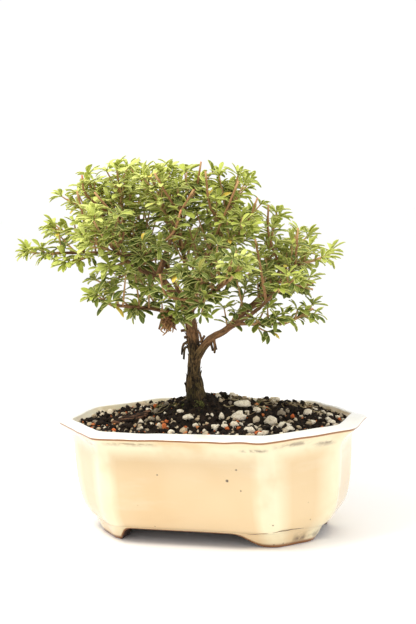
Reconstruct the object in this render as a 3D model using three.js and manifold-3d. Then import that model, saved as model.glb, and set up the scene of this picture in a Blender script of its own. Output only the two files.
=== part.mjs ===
// A small fine-leaved shrub trained as a bonsai, in an eight-sided glazed pot on four bracket feet.
// Millimetres, +Z up, the pot's long side along X and its front towards -Y.

import * as THREE from 'three';
import { mergeVertices } from 'three/addons/utils/BufferGeometryUtils.js';
import Module from 'manifold-3d';

const wasm = await Module();
wasm.setup();

// Driving dimensions of the pot
const RIM_HALF_LENGTH = 101.6;
const RIM_HALF_DEPTH = 68.6;
const CHAMFER_LENGTH = 46.2;
const CHAMFER_DEPTH = 47.8;
const CORNER_RADIUS = 12;
const RIM_HEIGHT = 75.6;
const FOOT_HEIGHT = 8.5;
const FOOT_THICKNESS = 14;
const UNDERSIDE = 9;
const FLOOR_TOP = 15;
const DRAIN_RADIUS = 6.5;
const DRAIN_OFFSET = 38;
const LIP_WAVE = 0.5;
const ARCH_STEPS = 4;
const DRAIN_SIDES = 12;

// Below the floor, where a cut starts
const BELOW = -1;

// The gap that touching pieces keep
const GAP = 0.3;

// Driving dimensions of the soil, the grit in it and the bark chip on it
const SOIL_EDGE = 71.5;
const SOIL_EDGE_INSET = 13.2;
const SOIL_RINGS = [1, 0.85, 0.68, 0.5, 0.3, 0.12];
const MOUND_HEIGHT = 8;
const HEAP_HEIGHT = 9;
const LUMP_HEIGHT = 0.6;
const GRIT_COUNT = 20;
const GRIT_SEED = 4711;
const GRIT_SPREAD = [74, 42];
const GRIT_SMALLEST = 3.2;
const GRIT_SIZE_SPAN = 3.4;
const CLEAR_ROUND_TRUNK = 12;
const CLEAR_ROUND_CHIP = [15, 9];
const CHIP_PLACE = [-50, -14];
const CHIP_SIZE = [23, 7, 3];
const CHIP_SIDES = 7;
const CHIP_SKEW = 0.2;
const CHIP_LIFT = 0.6;

// Driving dimensions of the drain screens
const SCREEN_SIZE = 22;
const SCREEN_THICKNESS = 1.2;
const SCREEN_BAR = 2;
const SCREEN_HOLES = 3;

// Driving dimensions of the wood
const ROOT_FOOT = 56;
const TRUNK_SIDES = 8;
const LIMB_SIDES = 5;

// Driving dimensions of the shoots; angles in radians, the rest as shares of a length
const GOLDEN_ANGLE = Math.PI * (3 - Math.sqrt(5));
const SHOOT_RADIUS = 0.95;
const SIDE_SHOOT_RADIUS = 0.8;
const SHOOT_TIP_RADIUS = 0.7;
const SIDE_SHOOT_REACH = 0.42;
const SIDE_SHOOT_LEAN = 0.95;
const SHOOT_SAG = 0.04;
const SHOOT_BOW = 0.09;
const BENDS_PER_BOW = 5;
const FORK_PLACES = { 1: [0.3], 2: [0.24, 0.78] };

// Driving dimensions of the leaves
const BLADE_LENGTH = 12;
const BLADE_WIDTH = 4.3;
const BLADE_THICKNESS = 0.65;
const LEAF_LEAN = 1.1;
const TIP_LEAN = 0.85;
const LEAN_TRIALS = [0, 0.2, -0.2];
const MAIN_LEAF_PLACES = [0.56, 0.97];
const SIDE_LEAF_PLACES = [0.95];

// How a shoot or a leaf is kept clear of the others
const CLEARANCE = 0.28;
const BLADE_CLEARANCE = 0.05;
const SEARCH = 0.6;
const OFFSET_STEP = 0.1;
const FURTHEST_START = 7;
const MOST_BENDS = 20;
const MOST_TURNS = 6;

const CERAMIC = new THREE.MeshStandardMaterial({ color: 0xeed6ac, roughness: 0.25, metalness: 0 });
const SOIL = new THREE.MeshStandardMaterial({ color: 0x2c2019, roughness: 0.95, metalness: 0 });
const BARK = new THREE.MeshStandardMaterial({ color: 0x6b4a33, roughness: 0.9, metalness: 0 });
const LEAF = new THREE.MeshStandardMaterial({ color: 0x6f8f45, roughness: 0.55, metalness: 0 });
const PLASTIC = new THREE.MeshStandardMaterial({ color: 0x22252a, roughness: 0.6, metalness: 0 });

// Repeatable random numbers between 0 and 1
function randomStream(seed) {
  let state = seed;
  return () => {
    state = (state * 48271) % 2147483647;
    return state / 2147483647;
  };
}

// Solids: a closed geometry becomes a manifold, and a manifold becomes a geometry again
function toSolid(geometry) {
  const bare = geometry.index ? geometry : geometry.clone();
  bare.deleteAttribute('normal');
  bare.deleteAttribute('uv');
  const merged = mergeVertices(bare, 1e-4);
  return new wasm.Manifold(new wasm.Mesh({
    numProp: 3,
    vertProperties: new Float32Array(merged.attributes.position.array),
    triVerts: new Uint32Array(merged.index.array),
  }));
}

// A cut can leave loose scraps, which are dropped
function largestBody(solid) {
  return solid.decompose().sort((a, b) => b.volume() - a.volume())[0];
}

function toGeometry(solid) {
  const mesh = solid.getMesh();
  const geometry = new THREE.BufferGeometry();
  geometry.setAttribute('position', new THREE.BufferAttribute(mesh.vertProperties, 3));
  geometry.setIndex(new THREE.BufferAttribute(mesh.triVerts, 1));
  geometry.computeVertexNormals();
  return geometry;
}

// A closed skin over rows of points, bottom row first and each row anticlockwise from above:
// a lathe's surface whose vertices are moved to place(row, side) and whose ends are capped.
function skin(rows, sides, place) {
  const profile = [new THREE.Vector2(0, 0)];
  for (let row = 0; row < rows; row++) profile.push(new THREE.Vector2(1, row));
  profile.push(new THREE.Vector2(0, rows - 1));
  const lathe = new THREE.LatheGeometry(profile, sides);
  lathe.deleteAttribute('normal');
  lathe.deleteAttribute('uv');
  const geometry = mergeVertices(lathe, 1e-3);
  const position = geometry.attributes.position;
  const ringCentre = (row) => {
    const centre = new THREE.Vector3();
    for (let side = 0; side < sides; side++) centre.add(place(row, side));
    return centre.divideScalar(sides);
  };
  const ends = [ringCentre(0), ringCentre(rows - 1)];
  for (let i = 0; i < position.count; i++) {
    const x = position.getX(i);
    const z = position.getZ(i);
    const row = Math.round(position.getY(i));
    const onAxis = Math.hypot(x, z) < 0.5;
    const side = Math.round(Math.atan2(x, z) * sides / (2 * Math.PI) + sides) % sides;
    const point = onAxis ? ends[row === 0 ? 0 : 1] : place(row, side);
    position.setXYZ(i, point.x, point.y, point.z);
  }
  return toSolid(geometry);
}

// The pot's outline: an octagon with rounded corners, as face directions and distances
const CHAMFER_SPAN = Math.hypot(CHAMFER_LENGTH, CHAMFER_DEPTH);
const CHAMFER_ANGLE = Math.atan2(CHAMFER_LENGTH, CHAMFER_DEPTH);
const CHAMFER_DISTANCE = ((RIM_HALF_LENGTH - CHAMFER_LENGTH) * CHAMFER_DEPTH
  + RIM_HALF_DEPTH * CHAMFER_LENGTH) / CHAMFER_SPAN;
const FACES = [
  [0, RIM_HALF_LENGTH],
  [CHAMFER_ANGLE, CHAMFER_DISTANCE],
  [Math.PI / 2, RIM_HALF_DEPTH],
  [Math.PI - CHAMFER_ANGLE, CHAMFER_DISTANCE],
  [Math.PI, RIM_HALF_LENGTH],
  [Math.PI + CHAMFER_ANGLE, CHAMFER_DISTANCE],
  [1.5 * Math.PI, RIM_HALF_DEPTH],
  [2 * Math.PI - CHAMFER_ANGLE, CHAMFER_DISTANCE],
];
const CHAMFER_EASE = 0.72;
const ARC_POINTS = 3;
const POT_SIDES = FACES.length * ARC_POINTS;

// One point of that outline, moved in by the inset: side counts round the eight corner arcs
function potOutline(inset, side) {
  const corner = Math.floor(side / ARC_POINTS);
  const [angleA, distanceA] = FACES[corner];
  const [angleBase, distanceB] = FACES[(corner + 1) % FACES.length];
  const angleB = corner === FACES.length - 1 ? angleBase + 2 * Math.PI : angleBase;
  const insetOf = (face) => inset * (face % 2 ? CHAMFER_EASE : 1);
  const a = distanceA - insetOf(corner) - CORNER_RADIUS;
  const b = distanceB - insetOf(corner + 1) - CORNER_RADIUS;
  const turn = Math.sin(angleB - angleA);
  const centreX = (a * Math.sin(angleB) - b * Math.sin(angleA)) / turn;
  const centreY = (b * Math.cos(angleA) - a * Math.cos(angleB)) / turn;
  const angle = angleA + (angleB - angleA) * (side % ARC_POINTS) / (ARC_POINTS - 1);
  return new THREE.Vector2(
    centreX + CORNER_RADIUS * Math.cos(angle),
    centreY + CORNER_RADIUS * Math.sin(angle),
  );
}

// Wall sections as [inset from the rim's outline, height]
const OUTER_WALL = [
  [28.5, 0], [24.2, FOOT_HEIGHT], [19.5, 12.5], [14.8, 20], [12, 32], [10.6, 48], [10, 65.5],
];
const LIP = [[7, 68.8], [0.8, 70.6], [0, 72.4], [0.8, 73.6], [8.4, RIM_HEIGHT], [10.2, 74.4]];
const INNER_WALL = [[15.2, 65], [15.8, 48], [17.8, 32], [22, 21], [31, FLOOR_TOP]];

// The pot: a hand-built shell with a flared, slightly wavy lip, drain holes and bracket feet
function potShell() {
  const rows = [...OUTER_WALL, ...LIP, ...INNER_WALL];
  return skin(rows.length, POT_SIDES, (row, side) => {
    const [inset, height] = rows[row];
    const point = potOutline(inset, side);
    const isLip = row >= OUTER_WALL.length && row < OUTER_WALL.length + LIP.length;
    const wave = isLip ? LIP_WAVE * (Math.sin(3 * side) - 1) / 2 : 0;
    return new THREE.Vector3(point.x, point.y, height + wave);
  });
}

// The four bracket feet are what is left of the foot ring: arches cut through it under the long
// sides and the ends, and the hollow under the floor. The long arch is steep at one end only.
function longArch() {
  const shape = new THREE.Shape();
  shape.moveTo(-50, BELOW).quadraticCurveTo(-50, FOOT_HEIGHT, -42, FOOT_HEIGHT);
  shape.lineTo(26, FOOT_HEIGHT).bezierCurveTo(37, FOOT_HEIGHT, 38, 1, 47, BELOW);
  return shape;
}

function endArch() {
  const shape = new THREE.Shape();
  shape.moveTo(-17, BELOW).quadraticCurveTo(-15, FOOT_HEIGHT, -8, FOOT_HEIGHT);
  shape.lineTo(8, FOOT_HEIGHT).quadraticCurveTo(15, FOOT_HEIGHT, 17, BELOW);
  return shape;
}

function archCut(shape, quarterTurns) {
  const cut = new THREE.ExtrudeGeometry(shape, {
    depth: RIM_HALF_LENGTH, bevelEnabled: false, curveSegments: ARCH_STEPS,
  });
  return toSolid(cut.rotateX(Math.PI / 2).rotateZ(quarterTurns * Math.PI / 2));
}

function pot() {
  let solid = potShell();
  for (const turns of [0, 2]) solid = solid.subtract(archCut(longArch(), turns));
  for (const turns of [1, 3]) solid = solid.subtract(archCut(endArch(), turns));
  const hollowInset = OUTER_WALL[0][0] + FOOT_THICKNESS;
  solid = solid.subtract(skin(2, POT_SIDES, (row, side) => {
    const point = potOutline(hollowInset, side);
    return new THREE.Vector3(point.x, point.y, row ? UNDERSIDE : BELOW);
  }));
  for (const side of [-1, 1]) {
    const depth = 3 * FLOOR_TOP;
    const drill = new THREE.CylinderGeometry(DRAIN_RADIUS, DRAIN_RADIUS, depth, DRAIN_SIDES);
    drill.rotateX(Math.PI / 2).translate(side * DRAIN_OFFSET, 0, FLOOR_TOP);
    solid = solid.subtract(toSolid(drill));
  }
  return solid;
}

// A square of coarse plastic mesh that keeps the soil from a drain hole
function drainScreen(centreX) {
  const pitch = (SCREEN_SIZE - SCREEN_BAR) / SCREEN_HOLES;
  const opening = pitch - SCREEN_BAR;
  const first = -pitch * (SCREEN_HOLES - 1) / 2;
  let solid = toSolid(new THREE.BoxGeometry(SCREEN_SIZE, SCREEN_SIZE, SCREEN_THICKNESS));
  for (let i = 0; i < SCREEN_HOLES; i++) {
    for (let j = 0; j < SCREEN_HOLES; j++) {
      const punch = new THREE.BoxGeometry(opening, opening, 3 * SCREEN_THICKNESS);
      solid = solid.subtract(toSolid(punch.translate(first + i * pitch, first + j * pitch, 0)));
    }
  }
  return solid.translate([centreX, 0, FLOOR_TOP + GAP + SCREEN_THICKNESS / 2]);
}

// Limbs: a tapered skin along a curve through hand-placed points
class GrowthCurve {
  constructor(points) {
    const places = points.map((p) => new THREE.Vector3(...p));
    this.curve = new THREE.CatmullRomCurve3(places, false, 'catmullrom');
    const whole = this.at(1).sub(this.at(0));
    const axes = [[1, 0, 0], [0, 1, 0], [0, 0, 1]].map((axis) => new THREE.Vector3(...axis));
    axes.sort((p, q) => Math.abs(p.dot(whole)) - Math.abs(q.dot(whole)));
    this.helper = axes[0];
  }

  at(t) {
    return this.curve.getPoint(t);
  }

  tangent(t) {
    const step = 0.005;
    return this.at(Math.min(1, t + step)).sub(this.at(Math.max(0, t - step))).normalize();
  }

  // A unit vector square to the curve, turned by the azimuth
  across(t, azimuth) {
    const tangent = this.tangent(t);
    const side = tangent.clone().cross(this.helper).normalize();
    const up = tangent.clone().cross(side);
    return side.multiplyScalar(Math.cos(azimuth)).add(up.multiplyScalar(Math.sin(azimuth)));
  }
}

function taperedTube(curve, rows, sides, radiusAt) {
  return skin(rows, sides, (row, side) => {
    const t = row / (rows - 1);
    const outward = curve.across(t, side * 2 * Math.PI / sides);
    return curve.at(t).addScaledVector(outward, radiusAt(t));
  });
}

// The wood: the trunk's route with its radius at each point, and each limb as its route and the
// radius at either end
const TRUNK = [
  [-8, -3, ROOT_FOOT], [-8, -3, 74], [-8, -3, 88], [-9, -3, 104],
  [-8, -3, 118], [-9, -3, 131], [-10, -3, 142], [-12, -4, 154],
];
const TRUNK_RADII = [3.2, 6, 6.6, 4.4, 3.9, 4.1, 3.4, 2.4];
const LIMBS = {
  right: {
    route: [[-8, -3, 114], [4, -5, 127], [15, -5, 133], [29, -7, 145], [41, -7, 153], [50, -6, 162],
      [65, -1, 175]],
    thick: 2.7,
    thin: 1.1,
  },
  right_upper: {
    route: [[-11, -4, 146], [-2, -9, 168], [10, -11, 188], [19, -8, 207], [23, -3, 218]],
    thick: 2.2,
    thin: 0.9,
  },
  left: {
    route: [[-10, -4, 143], [-31, -2, 170], [-43, 2, 183], [-57, 2, 202], [-63, 1, 211]],
    thick: 2.4,
    thin: 1,
  },
  middle: {
    route: [[-31, -2, 170], [-19, -11, 191], [-12, -17, 201], [-6, -19, 211], [1, -18, 221]],
    thick: 1.6,
    thin: 0.9,
  },
  top: {
    route: [[-12, -4, 152], [-14, 5, 172], [-20, 12, 192], [-27, 16, 212]],
    thick: 2,
    thin: 1,
  },
  low_left: {
    route: [[-10, -3, 138], [-23, -21, 148], [-34, -38, 152], [-44, -52, 155]],
    thick: 1.5,
    thin: 0.9,
  },
  far_left: {
    route: [[-43, 2, 183], [-55, -14, 185], [-68, -30, 187], [-83, -42, 188]],
    thick: 1.5,
    thin: 0.9,
  },
  right_low: {
    route: [[15, -5, 133], [27, -12, 138], [43, -17, 138], [58, -18, 139]],
    thick: 1.4,
    thin: 0.9,
  },
  front_right: {
    route: [[22, -6, 138], [36, -22, 144], [50, -34, 153], [60, -40, 161]],
    thick: 1.5,
    thin: 0.9,
  },
  front: {
    route: [[-10, -3, 138], [-2, -22, 147], [10, -38, 156], [24, -50, 163], [36, -58, 170]],
    thick: 1.8,
    thin: 0.9,
  },
  front_left: {
    route: [[-28, -3, 166], [-33, -24, 174], [-38, -44, 184], [-42, -60, 196]],
    thick: 1.8,
    thin: 0.9,
  },
  back: {
    route: [[-11, -3, 144], [-12, 20, 157], [-8, 38, 172], [1, 54, 188], [9, 62, 200]],
    thick: 1.9,
    thin: 0.9,
  },
  back_left: {
    route: [[-13, -3, 150], [-28, 16, 166], [-45, 30, 187], [-60, 38, 207]],
    thick: 1.9,
    thin: 0.9,
  },
  back_right: {
    route: [[29, -7, 145], [37, 14, 156], [42, 34, 168], [44, 50, 178]],
    thick: 1.6,
    thin: 0.9,
  },
  stub_low: { route: [[-8, -3, 126], [-14, -6, 124], [-15.5, -7, 117]], thick: 1.2, thin: 0.6 },
  stub_left: { route: [[-23, -21, 148], [-22, -23, 143], [-24, -24, 136]], thick: 1, thin: 0.7 },
  stub_right: { route: [[6, -5, 128], [7.5, -6, 123], [7, -6, 118]], thick: 1.1, thin: 0.7 },
};

function trunkSolid(grow) {
  const curve = new GrowthCurve(TRUNK);
  const last = TRUNK.length - 1;
  const rows = 2 * last + 1;
  return taperedTube(curve, rows, TRUNK_SIDES, (t) => {
    const place = Math.min(t * last, last - 1e-9);
    const lower = Math.floor(place);
    const blend = place - lower;
    return TRUNK_RADII[lower] * (1 - blend) + TRUNK_RADII[lower + 1] * blend + grow;
  });
}

const limbCurves = {};

function wood() {
  let solid = trunkSolid(0);
  for (const [name, limb] of Object.entries(LIMBS)) {
    const curve = new GrowthCurve(limb.route);
    limbCurves[name] = curve;
    const isStub = name.startsWith('stub');
    const rows = isStub ? limb.route.length : limb.route.length + 2;
    const radiusAt = (t) => limb.thick + (limb.thin - limb.thick) * t;
    solid = solid.add(taperedTube(curve, rows, LIMB_SIDES, radiusAt));
  }
  return solid;
}

// The soil's surface: nearly level at the front wall, mounded round the trunk and heaped behind it
function soilHeight(x, y) {
  const mound = Math.exp(-(((x + 5) / 30) ** 2) - ((y - 2) / 24) ** 2);
  const heap = Math.exp(-(((x - 12) / 66) ** 4) - ((y - 20) / 27) ** 2);
  const lumps = Math.sin(x * 0.35) * Math.cos(y * 0.42) + 0.6 * Math.sin(x * 0.83 + y * 0.61);
  return SOIL_EDGE + MOUND_HEIGHT * mound + HEAP_HEIGHT * heap + LUMP_HEIGHT * lumps;
}

function soilBody() {
  const wallRows = [...INNER_WALL].reverse();
  return skin(wallRows.length + SOIL_RINGS.length, POT_SIDES, (row, side) => {
    if (row < wallRows.length) {
      const [inset, height] = wallRows[row];
      const point = potOutline(inset + GAP, side);
      return new THREE.Vector3(point.x, point.y, height + GAP);
    }
    const ring = SOIL_RINGS[row - wallRows.length];
    const point = potOutline(SOIL_EDGE_INSET, side).multiplyScalar(ring);
    return new THREE.Vector3(point.x, point.y, soilHeight(point.x, point.y));
  });
}

function grain(x, y, size, random) {
  const stone = new THREE.IcosahedronGeometry(size / 2, 0);
  stone.scale(1, 0.75 + 0.3 * random(), 0.6 + 0.3 * random());
  stone.rotateX(random() * 3).rotateZ(random() * 6);
  return toSolid(stone.translate(x, y, soilHeight(x, y) - 0.1 * size));
}

// The loose chip of bark, which lies flat in a dent of the soil
function barkChip() {
  const [length, width, thickness] = CHIP_SIZE;
  return skin(2, CHIP_SIDES, (row, side) => {
    const angle = side * 2 * Math.PI / CHIP_SIDES;
    const jag = side % 2 ? 0.78 : 1;
    const along = length / 2 * Math.cos(angle) * jag;
    const across = width / 2 * Math.sin(angle) * jag + CHIP_SKEW * along;
    const height = soilHeight(...CHIP_PLACE) + CHIP_LIFT + row * thickness;
    return new THREE.Vector3(CHIP_PLACE[0] + along, CHIP_PLACE[1] + across, height);
  });
}

function soil(chip) {
  let solid = soilBody();
  const random = randomStream(GRIT_SEED);
  for (let i = 0; i < GRIT_COUNT; i++) {
    const angle = random() * 2 * Math.PI;
    const reach = Math.sqrt(random());
    const x = GRIT_SPREAD[0] * reach * Math.cos(angle);
    const y = GRIT_SPREAD[1] * reach * Math.sin(angle);
    const size = GRIT_SMALLEST + GRIT_SIZE_SPAN * random();
    const nearTrunk = Math.hypot(x - TRUNK[0][0], y - TRUNK[0][1]) < CLEAR_ROUND_TRUNK;
    const fromChip = [0, 1].map((axis) => ([x, y][axis] - CHIP_PLACE[axis]) / CLEAR_ROUND_CHIP[axis]);
    const nearChip = Math.hypot(...fromChip) < 1;
    if (!nearTrunk && !nearChip) solid = solid.add(grain(x, y, size, random));
  }
  solid = solid.subtract(trunkSolid(GAP));
  for (const side of [-1, 1]) {
    const size = SCREEN_SIZE + 2 * GAP;
    const depth = SCREEN_THICKNESS + 3 * GAP;
    const recess = new THREE.BoxGeometry(size, size, depth);
    recess.translate(side * DRAIN_OFFSET, 0, FLOOR_TOP + depth / 2);
    solid = solid.subtract(toSolid(recess));
  }
  return largestBody(solid.subtract(chip.translate([0, 0, -GAP])));
}

// A leaf blade as sections [reach, width, rise] of its length and width: it widens past its
// middle, is blunt at its tip, and arches. Its foot is a facet of the shoot that bears it.
const BLADE_SECTIONS = [[0.6, 1, 0.09], [1, 0.48, 0]];

function bladeRings(curve, t, azimuth, lean, scale) {
  const tangent = curve.tangent(t);
  const outward = curve.across(t, azimuth);
  const across = tangent.clone().cross(outward);
  const along = tangent.clone().multiplyScalar(Math.cos(lean))
    .addScaledVector(outward, Math.sin(lean));
  const normal = tangent.clone().multiplyScalar(Math.sin(lean))
    .addScaledVector(outward, -Math.cos(lean));
  return BLADE_SECTIONS.map(([reach, width, rise]) => {
    const centre = curve.at(t)
      .addScaledVector(along, reach * BLADE_LENGTH * scale)
      .addScaledVector(normal, rise * BLADE_LENGTH * scale);
    return [[-1, -1], [1, -1], [1, 1], [-1, 1]].map(([side, face]) => centre.clone()
      .addScaledVector(across, side * width * BLADE_WIDTH * scale / 2)
      .addScaledVector(normal, face * BLADE_THICKNESS / 2));
  });
}

// The space that a blade takes, from near its foot to its tip
function bladeBody(rings, foot) {
  const nearFoot = rings[0].map((corner) => corner.clone().lerp(foot, 0.6));
  const box = new THREE.BoxGeometry(1, 1, 1, 2, 1, 1);
  const position = box.attributes.position;
  for (let i = 0; i < position.count; i++) {
    const side = position.getY(i) < 0 ? [0, 3] : [1, 2];
    const corner = side[position.getZ(i) < 0 ? 0 : 1];
    const point = [nearFoot, ...rings][Math.round(2 * position.getX(i) + 1)][corner];
    position.setXYZ(i, point.x, point.y, point.z);
  }
  return toSolid(box);
}

// The leafy sprays: [limb, place along it, tip, side shoots]
const SPRAYS = [
  ['far_left', 1, [-108, -54, 191], 2],
  ['far_left', 0.6, [-84, -54, 172], 1],
  ['left', 0.6, [-94, -38, 212], 2],
  ['left', 1, [-77, -14, 240], 1],
  ['left', 0.85, [-94, -12, 228], 1],
  ['left', 0.72, [-48, -24, 238], 2],
  ['left', 0.42, [-76, -22, 160], 1],
  ['back_left', 1, [-74, 46, 234], 1],
  ['back_left', 0.7, [-96, 32, 212], 1],
  ['front_left', 1, [-46, -76, 214], 2],
  ['front_left', 0.75, [-66, -68, 196], 1],
  ['front_left', 0.6, [-52, -64, 172], 1],
  ['low_left', 1, [-60, -68, 162], 1],
  ['low_left', 0.6, [-52, -30, 150], 1],
  ['middle', 1, [8, -16, 243], 2],
  ['middle', 0.5, [-22, -36, 236], 1],
  ['top', 1, [-29, 20, 240], 1],
  ['top', 0.7, [-54, 22, 230], 1],
  ['right_upper', 1, [27, 3, 237], 1],
  ['right_upper', 0.7, [44, -6, 222], 1],
  ['right_upper', 0.45, [44, -32, 202], 1],
  ['back', 1, [17, 74, 218], 1],
  ['back', 0.7, [-14, 60, 222], 1],
  ['right', 1, [90, 12, 184], 1],
  ['right', 0.85, [66, 22, 202], 1],
  ['right', 0.62, [48, 14, 208], 2],
  ['right', 0.75, [80, -14, 164], 1],
  ['right_low', 1, [84, -17, 146], 1],
  ['right_low', 0.5, [58, -36, 143], 1],
  ['front', 1, [48, -68, 182], 2],
  ['front', 0.6, [20, -66, 155], 1],
  ['front', 0.8, [10, -70, 178], 1],
  ['back_right', 1, [46, 72, 192], 1],
  ['front_right', 1, [78, -50, 172], 2],
  ['front_left', 0.45, [-12, -54, 192], 1],
  ['low_left', 0.35, [-6, -34, 143], 1],
  ['left', 0.3, [-48, 20, 158], 1],
  ['back', 0.4, [18, 50, 162], 1],
  ['back_left', 0.4, [-68, 40, 174], 1],
  ['back', 0.55, [-34, 58, 192], 1],
];

// Whether a piece keeps the clearance to every other body
function isClear(piece, others, clearance) {
  const box = piece.boundingBox();
  for (const other of others) {
    const apart = [0, 1, 2].some((axis) => box.min[axis] > other.box.max[axis] + SEARCH
      || box.max[axis] < other.box.min[axis] - SEARCH);
    if (!apart && piece.minGap(other.solid, SEARCH) < clearance) return false;
  }
  return true;
}

function remember(list, solid) {
  list.push({ solid, box: solid.boundingBox() });
}

// A shoot's curve, which sags a little; each further bend bows it another way, to clear a neighbour
function shootCurve(foot, heading, length, bend) {
  const tip = foot.clone().addScaledVector(heading, length);
  const middle = foot.clone().lerp(tip, 0.5);
  middle.z -= SHOOT_SAG * length;
  if (bend > 0) {
    const bow = new GrowthCurve([foot.toArray(), tip.toArray()]).across(0.5, bend * GOLDEN_ANGLE);
    middle.addScaledVector(bow, SHOOT_BOW * length * Math.ceil(bend / BENDS_PER_BOW));
  }
  return new GrowthCurve([foot.toArray(), middle.toArray(), tip.toArray()]);
}

// A shoot is a square tube with a thin row of facets at each leaf node, whose facets run out
// into blades. Blades that would touch a neighbour are left out.
function leafyShoot(curve, thick, forks, nodePlaces, spin, scale, neighbours, blades) {
  const length = curve.at(1).distanceTo(curve.at(0));
  const half = BLADE_THICKNESS / 2 / length;
  const places = [0, ...forks, ...nodePlaces.flatMap((t) => [t - half, t + half])];
  places.sort((p, q) => p - q);
  const nodeAt = (row) => nodePlaces.find((t) => Math.abs(t - half - places[row]) < 1e-9);
  const radiusAt = (t) => thick + (SHOOT_TIP_RADIUS - thick) * t;
  const corner = (row, side) => curve.at(places[row])
    .addScaledVector(curve.across(places[row], spin + side * Math.PI / 2), radiusAt(places[row]));
  const points = [];
  const triangles = [];
  const quad = (p, q, r, s) => triangles.push([p, q, r], [p, r, s]);
  const quadAlike = (p, q, r, s) => triangles.push([p, q, s], [q, r, s]);
  const addPoint = (point) => points.push(point) - 1;
  const rows = places.map((_, row) => [0, 1, 2, 3].map((side) => addPoint(corner(row, side))));
  const ends = [addPoint(curve.at(0)), addPoint(curve.at(places.at(-1)))];
  const grown = [];
  for (let side = 0; side < 4; side++) {
    const next = (side + 1) % 4;
    triangles.push([ends[0], rows[0][next], rows[0][side]]);
    triangles.push([ends[1], rows.at(-1)[side], rows.at(-1)[next]]);
    for (let row = 0; row < rows.length - 1; row++) {
      const facet = [rows[row][side], rows[row][next], rows[row + 1][next], rows[row + 1][side]];
      const node = nodeAt(row);
      const rings = node === undefined ? null : freeBlade(node, side);
      if (!rings) {
        quad(...facet);
        continue;
      }
      let ring = facet;
      for (const section of rings) {
        const outer = section.map(addPoint);
        quad(ring[0], ring[1], outer[1], outer[0]);
        quad(ring[1], ring[2], outer[2], outer[1]);
        quadAlike(ring[2], ring[3], outer[3], outer[2]);
        quad(ring[3], ring[0], outer[0], outer[3]);
        ring = outer;
      }
      quad(...ring);
    }
  }

  function freeBlade(node, side) {
    const azimuth = spin + (side + 0.5) * Math.PI / 2;
    const lean = node === nodePlaces.at(-1) ? TIP_LEAN : LEAF_LEAN;
    for (const turn of LEAN_TRIALS) {
      const rings = bladeRings(curve, node, azimuth, lean + turn, scale);
      const body = bladeBody(rings, curve.at(node));
      if (isClear(body, neighbours, CLEARANCE) && isClear(body, blades, BLADE_CLEARANCE)) {
        remember(grown, body);
        return rings;
      }
    }
    return null;
  }

  blades.push(...grown);
  const geometry = new THREE.BufferGeometry().setFromPoints(points);
  geometry.setIndex(triangles.flat());
  return toSolid(geometry);
}

function bareShoot(curve, thick) {
  return taperedTube(curve, 2, 4, (t) => thick + (SHOOT_TIP_RADIUS - thick) * t);
}

// The spray's leading shoot starts just clear of its limb and ends short of the spray's tip, where
// its last leaves reach
function leadingShoot(start, heading, reach, neighbours) {
  const tipLeaves = 0.4 * BLADE_LENGTH;
  for (let bend = 0; bend <= MOST_BENDS; bend++) {
    for (let offset = GAP; offset < FURTHEST_START; offset += OFFSET_STEP) {
      const foot = start.clone().addScaledVector(heading, offset);
      const curve = shootCurve(foot, heading, reach - offset - tipLeaves, bend);
      const tube = taperedTube(curve, 5, 4, () => SHOOT_RADIUS);
      if (isClear(tube, neighbours, CLEARANCE)) return curve;
    }
  }
  throw new Error('a leading shoot crosses its neighbours');
}

// A side shoot leaves the leading one at a slant, turned round it until it is clear
function sideShoot(main, t, firstAzimuth, length, neighbours, blades) {
  for (let attempt = 0; attempt < MOST_TURNS; attempt++) {
    const heading = main.tangent(t).multiplyScalar(Math.cos(SIDE_SHOOT_LEAN))
      .addScaledVector(main.across(t, firstAzimuth + attempt), Math.sin(SIDE_SHOOT_LEAN));
    const curve = shootCurve(main.at(t), heading, length, 0);
    const tube = bareShoot(curve, SIDE_SHOOT_RADIUS);
    if (isClear(tube, neighbours, CLEARANCE) && isClear(tube, blades, BLADE_CLEARANCE)) return curve;
  }
  return null;
}

function spray([limbName, place, tip, sideShoots], seed, neighbours) {
  const random = randomStream(seed);
  const start = limbCurves[limbName].at(place);
  const target = new THREE.Vector3(...tip);
  const heading = target.clone().sub(start).normalize();
  const reach = target.distanceTo(start);
  const main = leadingShoot(start, heading, reach, neighbours);
  const spin = 6 * random();
  const blades = [];
  const sideCurves = [];
  const forks = FORK_PLACES[sideShoots];
  for (const [i, t] of forks.entries()) {
    const length = SIDE_SHOOT_REACH * reach * (1.15 - 0.5 * t);
    const curve = sideShoot(main, t, spin + i * GOLDEN_ANGLE, length, neighbours, blades);
    if (curve) {
      sideCurves.push(curve);
      remember(blades, bareShoot(curve, SIDE_SHOOT_RADIUS));
    }
  }
  let solid = leafyShoot(main, SHOOT_RADIUS, forks, MAIN_LEAF_PLACES, spin, 1, neighbours, blades);
  for (const [i, curve] of sideCurves.entries()) {
    const others = blades.filter((body) => body !== blades[i]);
    const scale = 0.9 + 0.15 * random();
    const turn = random();
    const twig = leafyShoot(
      curve, SIDE_SHOOT_RADIUS, [], SIDE_LEAF_PLACES, turn, scale, neighbours, others,
    );
    solid = solid.add(twig);
    remember(blades, twig);
  }
  return solid;
}

// The whole, with its lowest point at zero and the middle of its outline over the origin
const whole = new THREE.Group();

function addPiece(name, solid, material) {
  const mesh = new THREE.Mesh(toGeometry(solid), material);
  mesh.name = name;
  whole.add(mesh);
}

const potSolid = pot();
const chipSolid = barkChip();
const woodSolid = wood();
addPiece('pot', potSolid, CERAMIC);
addPiece('drain_screen_left', drainScreen(-DRAIN_OFFSET), PLASTIC);
addPiece('drain_screen_right', drainScreen(DRAIN_OFFSET), PLASTIC);
addPiece('soil', soil(chipSolid), SOIL);
addPiece('bark_chip', chipSolid, BARK);
addPiece('trunk_and_limbs', woodSolid, BARK);

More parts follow.
